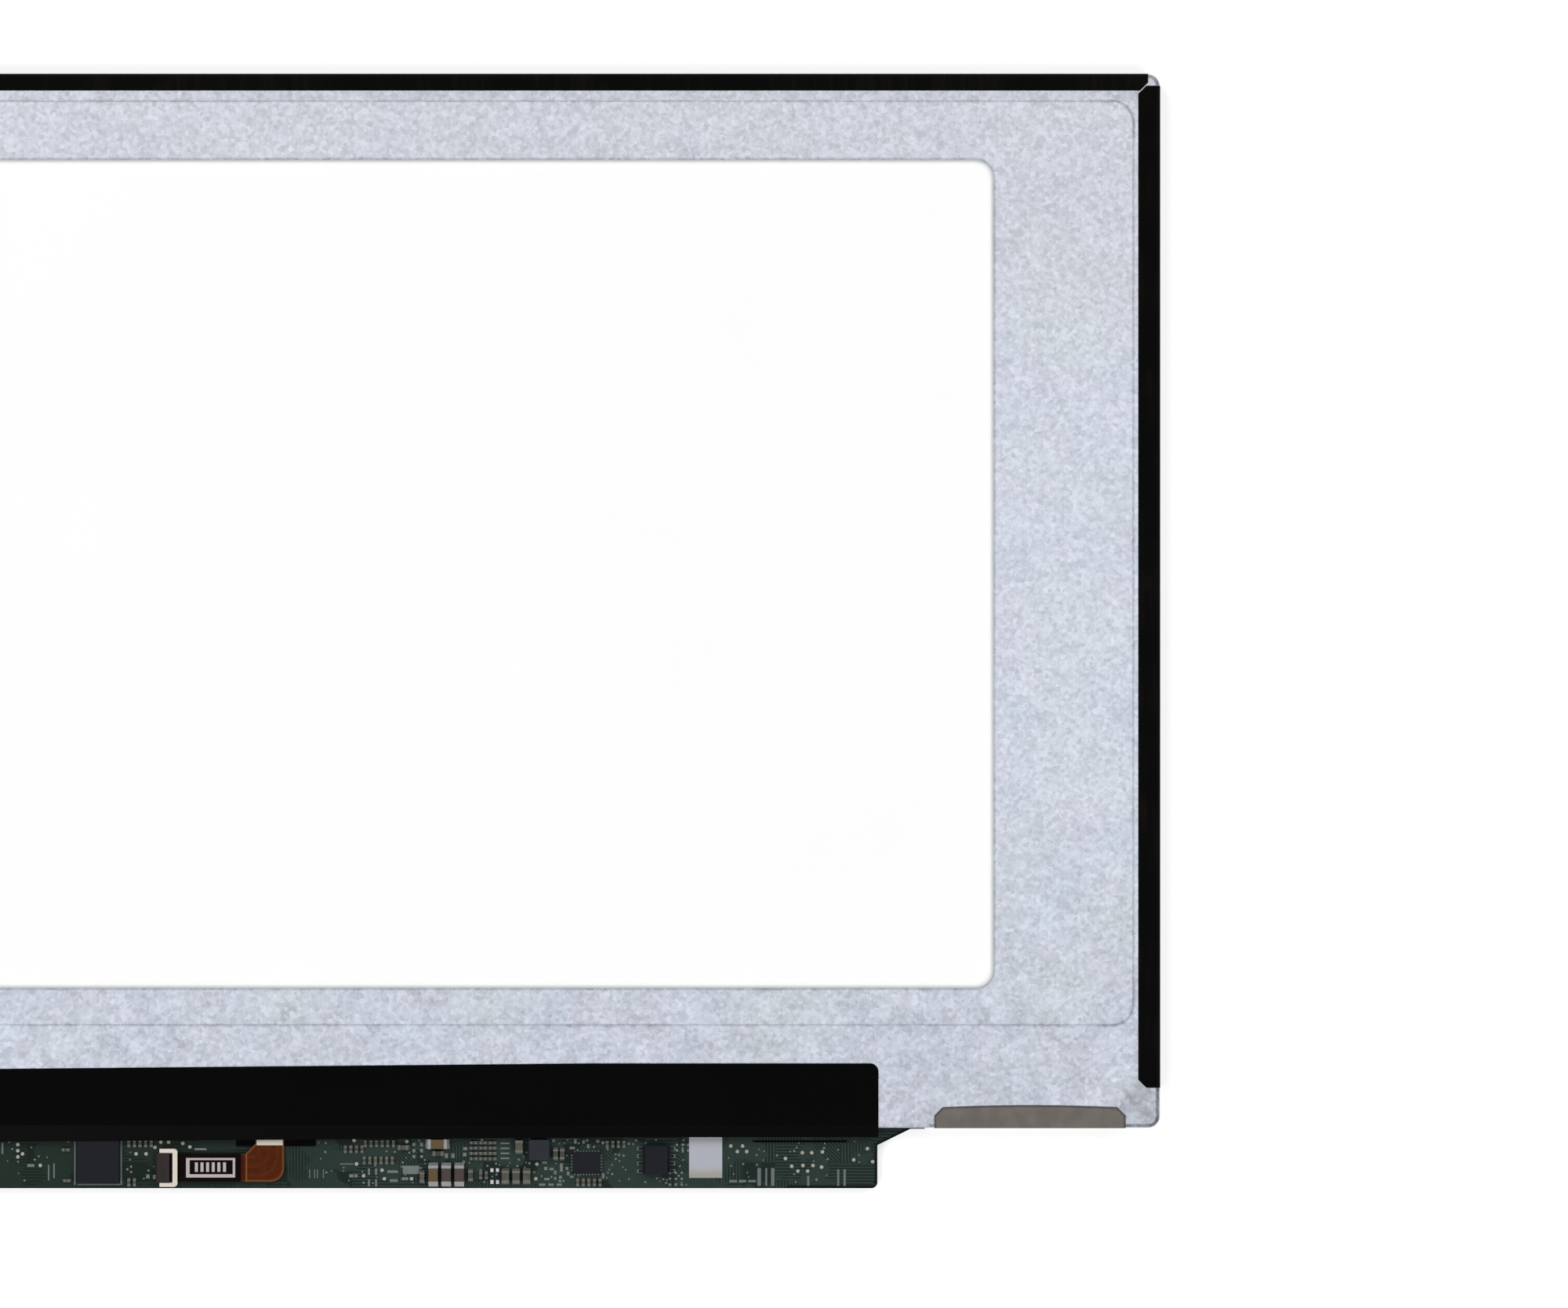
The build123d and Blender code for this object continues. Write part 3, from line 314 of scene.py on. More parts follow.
def galvanised_steel():
    """Pale zinc with a fine spangle, painted shade towards its edges, on its ledge, in its corners, along
    the pressed line, window edge and bend, and a painted highlight on a crease.
    """
    material, shader, place = surface("cover_steel", {"Metallic": 0.3})
    x, y, z = place.axes()
    spangle = place.cells(SPANGLE_SIZE).axes()[0]
    grain = place.noise(GRAIN_SIZE, 3.0, 0.68, bend=0.4)
    blotch = place.noise(BLOTCH_SIZE, 2.0)
    cloud = place.noise(CLOUD_SIZE, 2.0)
    drift = place.noise(DRIFT_SIZE, 1.0)
    # Painted shade: darker towards the lower edge, where this mask also makes the blotches stronger, and
    # greyer and darker towards the upper edge
    low_shade_and_blotch = 1 - y.fade(COVER_LOW.y + SHADE_LOW, COVER_LOW.y + SHADE_LOW_REACH)
    high_shade = y.fade(COVER_HIGH.y - SHADE_HIGH_REACH, COVER_HIGH.y - SHADE_HIGH)
    cool = cloud.fade(0.35, 0.65).tint(srgb(216, 223, 237), srgb(221, 224, 238))
    pale = drift.fade(0.4, 0.7).tint(cool, srgb(219, 225, 235))
    colour = (high_shade * 0.6).tint(pale, srgb(220, 223, 232))
    ring_edges = (COVER_LOW.x + RING_SIDE, COVER_HIGH.x - RING_SIDE,
                  COVER_LOW.y + RING_BOTTOM, COVER_HIGH.y - RING_TOP)
    ring = outline_distance(place, *ring_edges, RING_CORNER)
    turning = outline_distance(place, *ring_edges, RING_TURN).fade(0.2, 1.4)
    window = outline_distance(
        place, COVER_LOW.x + WINDOW_SIDE, COVER_HIGH.x - WINDOW_SIDE,
        COVER_LOW.y + WINDOW_BOTTOM, COVER_HIGH.y - WINDOW_TOP, WINDOW_CORNER)
    outer = outline_distance(place, COVER_LOW.x, COVER_HIGH.x, COVER_LOW.y, COVER_HIGH.y, COVER_CORNER)
    drawn = outline_distance(place, COVER_LOW.x, COVER_HIGH.x, COVER_LOW.y, COVER_HIGH.y, DRAWN_CORNER)
    # Painted shade along the pressed line, along the window's cut edge, and along the outer bend where the
    # lower wall is
    pressed_shade = 1 - abs(ring + 0.05).fade(*PRESSED_LINE)
    cut_shade = 1 - abs(window).fade(*CUT_LINE)
    walled = abs(x).fade(GROUND_LOW.x - WALL_START, GROUND_LOW.x - WALL_FULL)
    bend = (1 - abs(outer + BEND_LINE).fade(*BENT_LINE)) * walled
    uneven = cloud.fade(0.3, 0.65)
    # Painted shade on the upper ledge, just past the ring's line
    ledge_shade = y.fade(COVER_HIGH.y - RING_TOP + LEDGE_START, COVER_HIGH.y - RING_TOP + LEDGE_FULL)
    # Painted shade in the cover's rounded corners, stronger low down
    corner_shade = drawn.fade(-2.0, 2.0) * (0.4 + uneven) * (0.3 + low_shade_and_blotch * 0.7)
    folded = place.add("ShaderNodeCombineXYZ", None, {0: abs(x), 1: y, 2: z})
    patch = outline_distance(
        folded, COVER_HIGH.x - CREASE_SIDE, COVER_HIGH.x + CREASE_SIDE,
        COVER_LOW.y - CREASE_SIDE, COVER_LOW.y + CREASE_SIDE, CREASE_CORNER)
    # Painted highlight along a crease at the lower corners
    crease_highlight = (1 - abs(patch).fade(*CREASE_LINE)) * grain.fade(0.3, 0.5)
    # Painted shade of the pressed line, stronger in the ring's corners, and the sum of all the steel's
    # painted shade
    lines = pressed_shade * (0.05 + uneven * 0.09 + turning * 0.16)
    shadow = lines + cut_shade * 0.3 + bend * 0.5 + corner_shade * 0.22
    # Painted shade towards the lower and upper edges and on the ledge; the lower mask also scales the
    # blotches
    band_shade = low_shade_and_blotch * 0.1 + high_shade * 0.04 + ledge_shade * 0.07
    tone = (blotch - 0.5) * (0.12 + low_shade_and_blotch * 0.32) + crease_highlight * 0.12 - band_shade
    light = 0.635 + grain * 0.52 + spangle * 0.22 + tone - shadow
    colour.lit(light).feed(shader, "Base Color")
    (0.42 + grain * 0.16).feed(shader, "Roughness")
    (grain + spangle * 0.4).bump(0.006).feed(shader, "Normal")
    return material


def black_tape(name, tone):
    """Black polyester tape with faint brown streaks along it and a fine pull texture."""
    material, shader, place = surface(name, {"Specular IOR Level": 0.06})
    streaks = place.noise(0.9, 2.0, stretch=(1, 14, 1))
    patches = place.noise(9.0, 2.0)
    colour = (streaks * patches).fade(0.2, 0.5).tint(srgb(*tone), srgb(15, 13, 10))
    colour.feed(shader, "Base Color")
    (0.34 + patches * 0.14).feed(shader, "Roughness")
    (streaks + place.noise(0.12, 1.0) * 0.5).bump(0.004).feed(shader, "Normal")
    return material


def black_film():
    """Smooth black insulating film that lies in shallow waves."""
    material, shader, place = surface("board_film", {"Specular IOR Level": 0.05})
    waves = place.noise(14.0, 2.0, stretch=(2.2, 1, 1))
    dust = place.noise(0.35, 2.0).fade(0.68, 0.78)
    dust.tint(srgb(6, 6, 7), srgb(13, 13, 14)).feed(shader, "Base Color")
    (0.3 + waves * 0.12).feed(shader, "Roughness")
    waves.bump(0.05).feed(shader, "Normal")
    return material


def conductive_tape():
    """Brown-grey conductive fabric tape with a fine plain weave and painted shade along its edges."""
    material, shader, place = surface("ground_tape", {"Metallic": 0.25})
    x, y, z = place.axes()
    weave = (x * WEAVE).wave() * (y * WEAVE).wave()
    worn = place.noise(3.0, 3.0)
    stain = place.noise(5.0, 1.0, stretch=(2.5, 1, 1)).fade(0.4, 0.6)
    ground = stain.tint(srgb(113, 109, 101), srgb(117, 109, 106))
    colour = worn.fade(0.3, 0.7).tint(srgb(103, 97, 91), ground)
    # Painted shade along the tape's edges, following its bowed top and cut corners
    aside = abs(x - (GROUND_LOW.x + GROUND_HIGH.x) / 2)
    end = (GROUND_HIGH.x - GROUND_LOW.x) / 2 - aside
    crown = GROUND_HIGH.y - aside * aside * GROUND_BOW - y
    slanted = (end + crown - GROUND_CHAMFER) * math.sqrt(0.5)
    rim = 1 - end.least(crown).least(slanted).fade(0.1, 0.5)
    colour.lit(1.0 + weave * 0.05 - rim * 0.55).feed(shader, "Base Color")
    (0.5 + worn * 0.15).feed(shader, "Roughness")
    weave.bump(0.012).feed(shader, "Normal")
    return material


def white_reflector():
    """Bright white reflector film with hardly any tone of its own."""
    material, shader, place = surface("reflector_white", {"Specular IOR Level": 0.2})
    cloud = place.noise(30.0, 2.0)
    cloud.tint(srgb(253, 253, 253), srgb(255, 255, 255)).feed(shader, "Base Color")
    (0.5 + cloud * 0.1).feed(shader, "Roughness")
    place.noise(0.08, 1.0).bump(0.002).feed(shader, "Normal")
    return material


def solder_mask():
    """Dark green solder mask over copper: pours, bundles of fine tracks, and painted shade along its lower
    edge and end.
    """
    material, shader, place = surface("board_green", {"Specular IOR Level": 0.15})
    block = place.vector("FLOOR", place.vector("DIVIDE", place, TRACK_BLOCK))
    draw = place.add("ShaderNodeTexWhiteNoise", None, {"Vector": block})
    x, y, z = place.axes()
    level = ((y * TRACKS).wrapped() > TRACK_GAP) * (draw < 0.3)
    upright = ((x * TRACKS).wrapped() > TRACK_GAP) * (draw > 0.68)
    slanted = (((x + y) * SLANTED_TRACKS).wrapped() > TRACK_GAP) * (draw > 0.42) * (draw < 0.56)
    tracks = level + upright + slanted
    pour = place.noise(6.0, 2.0).fade(0.47, 0.5)
    copper = (pour * 0.5 + tracks * (1 - pour) * 0.7).least(1.0)
    busy = x.fade(BUSY_START, BUSY_FULL)
    mask = busy.tint(srgb(23, 34, 29), srgb(28, 39, 35))
    raised = busy.tint(srgb(40, 55, 47), srgb(54, 70, 65))
    green = copper.tint(mask, raised)
    # Painted shade along the board's lower edge, its end and the gusset past it
    rise = y - BOARD_EDGE
    past_end = abs(x) - BOARD_END
    gusset = rise - GUSSET_RISE - past_end * GUSSET_SLOPE
    inside = rise.least(0 - past_end).most(gusset)
    rim = 1 - inside.fade(0.25, 0.7)
    colour = rim.tint(green, srgb(12, 15, 14))
    mottle = place.noise(0.5, 2.0)
    colour.lit(0.82 + mottle * 0.3).feed(shader, "Base Color")
    (0.34 + mottle * 0.12).feed(shader, "Roughness")
    copper.bump(0.02).feed(shader, "Normal")
    return material


def polyimide_flex():
    """Amber flexible circuit: faint tracks that turn with the tail, pale edges, dark cover on the leg."""
    material, shader, place = surface("flex_amber", {"Specular IOR Level": 0.08})
    corner = (TAIL_LOW.x - FLEX_MARGIN, BOARD_EDGE + FLEX_LEG_RISE, 0)
    across = place.vector("MULTIPLY", place.vector("SUBTRACT", place, corner), (1, -1, 0))
    turned = place.vector("MAXIMUM", across, (0, 0, 0))
    track = place.vector("LENGTH", turned, output="Value")
    lines = 1 - (abs((track * 0.62 + 0.2).wrapped() - 0.5)).fade(0.05, 0.2)
    outline = outline_distance(
        place, -STRIP_REACH, TAIL_HIGH.x + FLEX_MARGIN,
        BOARD_EDGE + FLEX_EDGE_RISE, BOARD_EDGE + STRIP_REACH, FLEX_CORNER)
    x, y, z = place.axes()
    leg = corner[1] - y
    tail = x - corner[0]
    notch = (leg + tail + FLEX_NOTCH) * math.sqrt(0.5)
    inner = leg.most(tail).most(notch)
    pale = 1 - (inner.least(0 - outline)).fade(0.1, 0.45)
    covered = 1 - (x - FLEX_COVER_END).fade(-0.1, 0.1)
    seam = 1 - abs(x - FLEX_SEAM).fade(0.05, 0.2)
    on_board = (y - BOARD_EDGE) < FLEX_SHOWS
    mottle = place.noise(0.8, 2.0)
    amber = (lines * 0.25 + mottle * 0.6).tint(srgb(62, 27, 10), srgb(102, 45, 17))
    edged = (pale * 0.5).most(seam * 0.7).tint(amber, srgb(134, 88, 50))
    dusk = (1 - (x - FLEX_DUSK_END).fade(-0.1, 0.1)) * on_board * 0.75
    dusky = dusk.tint(edged, srgb(60, 18, 10))
    dark = (covered * on_board).tint(dusky, srgb(14, 7, 6))
    dark.feed(shader, "Base Color")
    (0.3 + mottle * 0.15).feed(shader, "Roughness")
    lines.bump(0.01).feed(shader, "Normal")
    return material


def moulded_black(name, tone, grain_depth=0.006):
    """Black moulding compound with a fine dry grain."""
    material, shader, place = surface(name, {"Specular IOR Level": 0.12})
    grain = place.noise(0.07, 2.0, 0.7)
    patch = place.noise(1.6, 2.0)
    (grain * 0.6 + patch * 0.4).tint(darker(tone, 0.85), darker(tone, 1.12)).feed(shader, "Base Color")
    (0.48 + grain * 0.2).feed(shader, "Roughness")
    grain.bump(grain_depth).feed(shader, "Normal")
    return material


def ceramic(name, tone, other):
    """Fired chip body: fine speckle between two tones."""
    material, shader, place = surface(name, {"Specular IOR Level": 0.4})
    speckle = place.noise(0.12, 2.0, 0.7)
    batch = place.cells(1.9).axes()[0]
    (batch * 0.6 + speckle * 0.4).tint(srgb(*tone), srgb(*other)).feed(shader, "Base Color")
    (0.4 + speckle * 0.2).feed(shader, "Roughness")
    speckle.bump(0.008).feed(shader, "Normal")
    return material


def multilayer_ceramic():
    """Large chip capacitors: mauve-grey low down and right of a place on the board, tan elsewhere."""
    material, shader, place = surface("chip_ceramic_brown", {"Specular IOR Level": 0.3})
    x, y, z = place.axes()
    speckle = place.noise(0.12, 2.0, 0.7)
    tan = speckle.tint(srgb(84, 68, 44), srgb(100, 82, 55))
    mauve = speckle.tint(srgb(62, 53, 50), srgb(78, 67, 62))
    greyish = (x > TAN_ENDS) * ((y - BOARD_EDGE) < GREYISH_RISE)
    greyish.tint(tan, mauve).feed(shader, "Base Color")
    (0.4 + speckle * 0.2).feed(shader, "Roughness")
    speckle.bump(0.008).feed(shader, "Normal")
    return material


def plated(name, tone, rough):
    """Bright plated metal with a slightly uneven, dulled skin."""
    material, shader, place = surface(name, {"Metallic": 0.4})
    skin = place.noise(0.22, 2.0, 0.6)
    dull = place.noise(1.3, 2.0)
    (skin * 0.5 + dull * 0.5).tint(darker(tone, 0.72), srgb(*tone)).feed(shader, "Base Color")
    (rough + dull * 0.2).feed(shader, "Roughness")
    skin.bump(0.012).feed(shader, "Normal")
    return material


def plain_plastic(name, tone, rough=0.4):
    """Moulded thermoplastic with soft flow marks."""
    material, shader, place = surface(name, {"Specular IOR Level": 0.35})
    flow = place.noise(0.9, 2.0, stretch=(3, 1, 1))
    grain = place.noise(0.06, 1.0)
    flow.tint(darker(tone, 0.93), srgb(*tone)).feed(shader, "Base Color")
    (rough + flow * 0.15).feed(shader, "Roughness")
    (grain + flow * 0.5).bump(0.004).feed(shader, "Normal")
    return material


def paper(name, tone):
    """Coated paper with faint fibres."""
    material, shader, place = surface(name, {"Specular IOR Level": 0.2})
    fibre = place.noise(0.3, 3.0, 0.7, stretch=(2.5, 1, 1))
    patch = place.noise(2.5, 2.0)
    (fibre * 0.5 + patch * 0.5).tint(darker(tone, 0.94), srgb(*tone)).feed(shader, "Base Color")
    (0.55 + fibre * 0.2).feed(shader, "Roughness")
    fibre.bump(0.006).feed(shader, "Normal")
    return material


def label_paper():
    """Pale label paper that turns yellowish towards its lower edge, where glue shows."""
    material, shader, place = surface("label_paper", {"Specular IOR Level": 0.2})
    x, y, z = place.axes()
    fibre = place.noise(0.3, 3.0, 0.7, stretch=(2.5, 1, 1))
    glue = 1 - (y - LABEL_EDGE + fibre * 0.6).fade(0.6, 2.4)
    sheet = fibre.tint(srgb(166, 169, 178), srgb(178, 180, 189))
    (glue * 0.8).tint(sheet, srgb(152, 149, 130)).feed(shader, "Base Color")
    (0.55 + fibre * 0.2).feed(shader, "Roughness")
    fibre.bump(0.006).feed(shader, "Normal")
    return material


def display_skin():
    """Dark polariser: the faint grid of the display's cells under a hard anti-glare skin."""
    material, shader, place = surface("polariser", {"Coat Roughness": 0.22, "Coat Weight": 0.5})
    x, y, z = place.axes()
    grid = ((x * CELLS).wrapped() < CELL_LINE).most((y * CELLS).wrapped() < CELL_LINE)
    glare = place.noise(0.05, 1.0)
    (grid * 0.5 + glare * 0.2).tint(srgb(13, 14, 17), srgb(8, 8, 10)).feed(shader, "Base Color")
    (0.24 + glare * 0.12).feed(shader, "Roughness")
    glare.bump(0.002).feed(shader, "Normal")
    return material


def display_glass():
    """Thin display glass, black behind its border and faintly green at its edge."""
    material, shader, place = surface("panel_glass", {"Coat Weight": 0.6, "Coat Roughness": 0.05})
    smear = place.noise(12.0, 2.0)
    smear.tint(srgb(12, 16, 16), srgb(22, 30, 28)).feed(shader, "Base Color")
    (0.08 + smear * 0.08).feed(shader, "Roughness")
    return material


def clear_sheet(name, tone, dot):
    """Optical sheet or light guide: milky, with a regular field of dots."""
    material, shader, place = surface(name, {"Specular IOR Level": 0.5})
    x, y, z = place.axes()
    across = abs((x * dot).wrapped() - 0.5)
    along = abs((y * dot).wrapped() - 0.5)
    dots = 1 - (across * across + along * along).fade(0.05, 0.09)
    haze = place.noise(5.0, 2.0)
    (dots * 0.6 + haze * 0.4).tint(srgb(*tone), srgb(250, 251, 252)).feed(shader, "Base Color")
    (0.2 + dots * 0.25).feed(shader, "Roughness")
    dots.bump(0.006).feed(shader, "Normal")
    return material


# Finish of each slot of the CAD nodes
FINISHES = {
    "cover_steel": galvanised_steel(),
    "edge_tape": black_tape("edge_tape", (5, 6, 5)),
    "board_film": black_film(),
    "ground_tape": conductive_tape(),
    "reflector_white": white_reflector(),
    "optical_film": clear_sheet("optical_film", (226, 230, 233), 1.6),
    "light_guide": clear_sheet("light_guide", (205, 222, 224), 0.9),
    "panel_glass": display_glass(),
    "polariser": display_skin(),
    "frame_black": moulded_black("frame_black", (22, 22, 23), 0.01),
    "rim_tape": black_tape("rim_tape", (15, 15, 15)),
    "board_green": solder_mask(),
    "flex_amber": polyimide_flex(),
    "source_film": plain_plastic("source_film", (110, 66, 30), 0.35),
    "chip_black": moulded_black("chip_black", (27, 28, 34)),
    "inductor_grey": moulded_black("inductor_grey", (42, 46, 52), 0.02),
    "chip_ceramic": ceramic("chip_ceramic", (44, 46, 43), (92, 88, 75)),
    "led_white": plain_plastic("led_white", (236, 234, 222)),
    "connector_white": plain_plastic("connector_white", (226, 216, 204)),
    "connector_dark": plain_plastic("connector_dark", (40, 32, 31)),
    "shell_metal": plated("shell_metal", (196, 196, 190), 0.28),
    "contact_metal": plated("contact_metal", (206, 196, 168), 0.3),
    "label_white": paper("label_white", (216, 217, 226)),
}

# Finishes of the new pieces, and of two nodes that differ from their slot's finish
MULTILAYER = multilayer_ceramic()
TAIL_WHITE = paper("tail_white", (206, 199, 184))
TIN = plated("tinned_ends", (184, 182, 183), 0.36)
DULL_TIN = plated("dull_ends", (126, 128, 121), 0.42)
# Near-white solder: a painted highlight on the four bright pads
GLINT_SOLDER = plated("glint_solder", (250, 252, 252), 0.3)
SOLDER = plated("solder", (132, 140, 136), 0.42)
SILK = paper("board_print", (105, 111, 113))
POINT_TIN = plated("test_point_tin", (202, 199, 187), 0.34)
WHITE_INK = paper("white_ink", (186, 178, 176))


def dress_nodes():
    """Give every CAD node the finish of its slot."""
    for node in nodes.values():
        for place, material in enumerate(list(node.data.materials)):
            node.data.materials[place] = FINISHES[material.name.split(".")[0]]
    nodes["capacitors_1206"].data.materials[0] = MULTILAYER
    nodes["tail_tape"].data.materials[0] = TAIL_WHITE
    nodes["board_label"].data.materials[0] = label_paper()


# Sides of a round land, and the share of its radius that is left at its top
DOT_SIDES = 14
DOT_TAPER = 0.78


class Piece:
    """A new piece under construction, drawn in millimetres with bmesh operators."""

    def __init__(self):
        self.mesh = bmesh.new()

    def slab(self, x0, x1, y0, y1, z0, z1, edge=0.0):
        """Block between two corners, its upper edges rounded off where asked, and its verts given back."""
        verts = bmesh.ops.create_cube(self.mesh, size=1.0)["verts"]
        bmesh.ops.scale(self.mesh, vec=(x1 - x0, y1 - y0, z1 - z0), verts=verts)
        bmesh.ops.translate(self.mesh, vec=((x0 + x1) / 2, (y0 + y1) / 2, (z0 + z1) / 2), verts=verts)
        if edge:
            upper = [v for v in verts if v.co.z > (z0 + z1) / 2]
            rim = [e for e in self.mesh.edges if e.verts[0] in upper and e.verts[1] in upper]
            bmesh.ops.bevel(
                self.mesh, geom=rim, offset=edge, offset_type="OFFSET", segments=2,
                profile=0.5, affect="EDGES", material=-1)
        return verts

    def pad(self, x, rise, length, width, height=0.04, edge=0.012):
        """Low plate on the board, round a place given from the middle and the board's lower edge."""
        y = BOARD_EDGE + rise
        self.slab(x - length / 2, x + length / 2, y - width / 2, y + width / 2,
                  BOARD_TOP - SUNK, BOARD_TOP + height, edge)

    def dot(self, x, rise, radius, height=0.05):
        """Low round land on the board with a sloping rim."""
        made = bmesh.ops.create_cone(
            self.mesh, cap_ends=True, cap_tris=False, segments=DOT_SIDES,
            radius1=radius, radius2=radius * DOT_TAPER, depth=height)
        middle = (x, BOARD_EDGE + rise, BOARD_TOP - SUNK + height / 2)
        bmesh.ops.translate(self.mesh, vec=middle, verts=made["verts"])

    def finished(self, name, material, body="panel"):
        """Close the piece: into metres, into the scene and onto its body."""
        bmesh.ops.scale(self.mesh, vec=(MM, MM, MM), verts=self.mesh.verts)
        bmesh.ops.recalc_face_normals(self.mesh, faces=self.mesh.faces)
        data = bpy.data.meshes.new(name)
        self.mesh.to_mesh(data)
        self.mesh.free()
        data.materials.append(material)
        piece = bpy.data.objects.new(name, data)
        bpy.context.scene.collection.objects.link(piece)
        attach(piece, body)


def separate_solids(node):
    """Lowest and highest corner, in millimetres, of each separate solid of a CAD node."""
    mesh = bmesh.new()
    mesh.from_mesh(nodes[node].data)
    bmesh.ops.remove_doubles(mesh, verts=mesh.verts, dist=TOUCHING * MM)
    seen = set()
    boxes = []
    for first in mesh.verts:
        if first in seen:
            continue
        seen.add(first)
        waiting = [first]
        points = []
        while waiting:
            vert = waiting.pop()
            points.append(vert.co / MM)
            for edge in vert.link_edges:
                other = edge.other_vert(vert)
                if other not in seen:
                    seen.add(other)
                    waiting.append(other)
        low = Vector(min(p[i] for p in points) for i in range(3))
        high = Vector(max(p[i] for p in points) for i in range(3))
        boxes.append((low, high))
    mesh.free()
    return boxes


# Tinned chip ends: how far they stand proud and off the board, and their rounding
END_PROUD = 0.015
END_LIFT = 0.005
END_EDGE = 0.05

# Solder slope at a chip's foot: how much narrower it is, the share of the chip it climbs, and its toe
SLOPE_INSET = 0.02
SLOPE_SHARE = 0.62
SLOPE_TOE = 0.03


def terminal(piece, low, high, axis, side, metal, fillet):
    """Tinned end of a chip with a solder slope at its foot, at one end along an axis."""
    inner = [low.x - END_PROUD, low.y - END_PROUD]
    outer = [high.x + END_PROUD, high.y + END_PROUD]
    if side > 0:
        inner[axis] = high[axis] - metal
    else:
        outer[axis] = low[axis] + metal
    piece.slab(inner[0], outer[0], inner[1], outer[1], low.z + END_LIFT, high.z + END_PROUD, END_EDGE)
    start = list(inner)
    stop = list(outer)
    start[axis] = outer[axis] if side > 0 else inner[axis] - fillet
    stop[axis] = outer[axis] + fillet if side > 0 else inner[axis]
    across = 1 - axis
    start[across] += SLOPE_INSET
    stop[across] -= SLOPE_INSET
    top = low.z + (high.z - low.z) * SLOPE_SHARE
    slope = piece.slab(start[0], stop[0], start[1], stop[1], BOARD_TOP - SUNK, top)
    far = stop[axis] if side > 0 else start[axis]
    for vert in slope:
        if abs(vert.co[axis] - far) < TOUCHING and vert.co.z > BOARD_TOP:
            vert.co.z = BOARD_TOP + SLOPE_TOE


# Chips with tinned ends: length of the metal, reach of the solder slope, and finish
CHIP_ENDS = [
    ("capacitors_1206", 0.5, 0.42, TIN), ("capacitors_0805", 0.4, 0.34, DULL_TIN),
    ("capacitors_0603", 0.32, 0.28, DULL_TIN), ("chips_0402", 0.24, 0.2, DULL_TIN),
]


def chip_terminals():
    """Tinned ends and solder on every chip capacitor and resistor."""
    for node, metal, fillet, finish in CHIP_ENDS:
        piece = Piece()
        for low, high in separate_solids(node):
            axis = 0 if high.x - low.x > high.y - low.y else 1
            for side in (-1, 1):
                terminal(piece, low, high, axis, side, metal, fillet)
        piece.finished(node + "_terminals", finish)


# Lands round the power chip: pitch, length and width, and the room left at its corners
POWER_LANDS = (0.5, 0.62, 0.26)
POWER_CORNERS = 0.6

# Pads under the memory's leads: pitch, length and width, how many on a side, and how far in they lie
MEMORY_LANDS = (1.27, 0.95, 0.6)
MEMORY_LEADS = 4
MEMORY_INSET = 0.25


def chip_lands():
    """Fine lands that show all round the power chip, and the pads under the memory's leads."""
    piece = Piece()
    low, high = corners("power_chip")
    pitch, length, width = POWER_LANDS
    for first, last, level, turned in (
            (low.x, high.x, low.y, False), (low.x, high.x, high.y, False),
            (low.y, high.y, low.x, True), (low.y, high.y, high.x, True)):
        count = int((last - first - POWER_CORNERS) / pitch)
        start = (first + last - count * pitch) / 2
        for i in range(count + 1):
            along = start + i * pitch
            if turned:
                piece.pad(level, along - BOARD_EDGE, length, width)
            else:
                piece.pad(along, level - BOARD_EDGE, width, length)
    low, high = corners("memory_chip")
    pitch, length, width = MEMORY_LANDS
    middle = (low.y + high.y) / 2 - BOARD_EDGE
    for side in (low.x + MEMORY_INSET, high.x - MEMORY_INSET):
        for i in range(MEMORY_LEADS):
            piece.pad(side, middle + (i - (MEMORY_LEADS - 1) / 2) * pitch, length, width)
    piece.finished("chip_lands", SOLDER)


# Round test points on the board: X from the middle, and rise above the board's lower edge
POINT_RADIUS = 0.32
TEST_POINTS = [
    (-40.1, 7.4), (-40.1, 6.35), (-40.1, 5.3), (-39.3, 5.8), (-36.3, 3.85),
    (16.8, 8.1), (17.2, 4.1), (18.4, 2.1), (21.5, 3.05), (21.9, 1.6), (26.5, 1.6), (25.7, 7.9),
    (38.4, 8.0), (47.7, 4.1), (47.5, 1.6), (80.5, 7.15), (82.5, 7.15), (81.6, 6.2), (83.2, 6.2),
    (89.75, 5.03), (91.85, 2.9), (93.5, 2.9), (92.7, 3.84), (94.4, 3.84), (95.85, 3.57), (90.8, 3.7),
    (92.6, 6.0), (94.2, 6.0), (96.0, 6.14), (101.3, 4.8), (103.6, 6.7), (104.5, 4.5),
    (-20.1, 5.8), (-18.4, 5.8), (-16.9, 6.9), (-15.9, 7.8), (-14.6, 7.8), (-12.2, 7.6), (-11.0, 7.0),
]

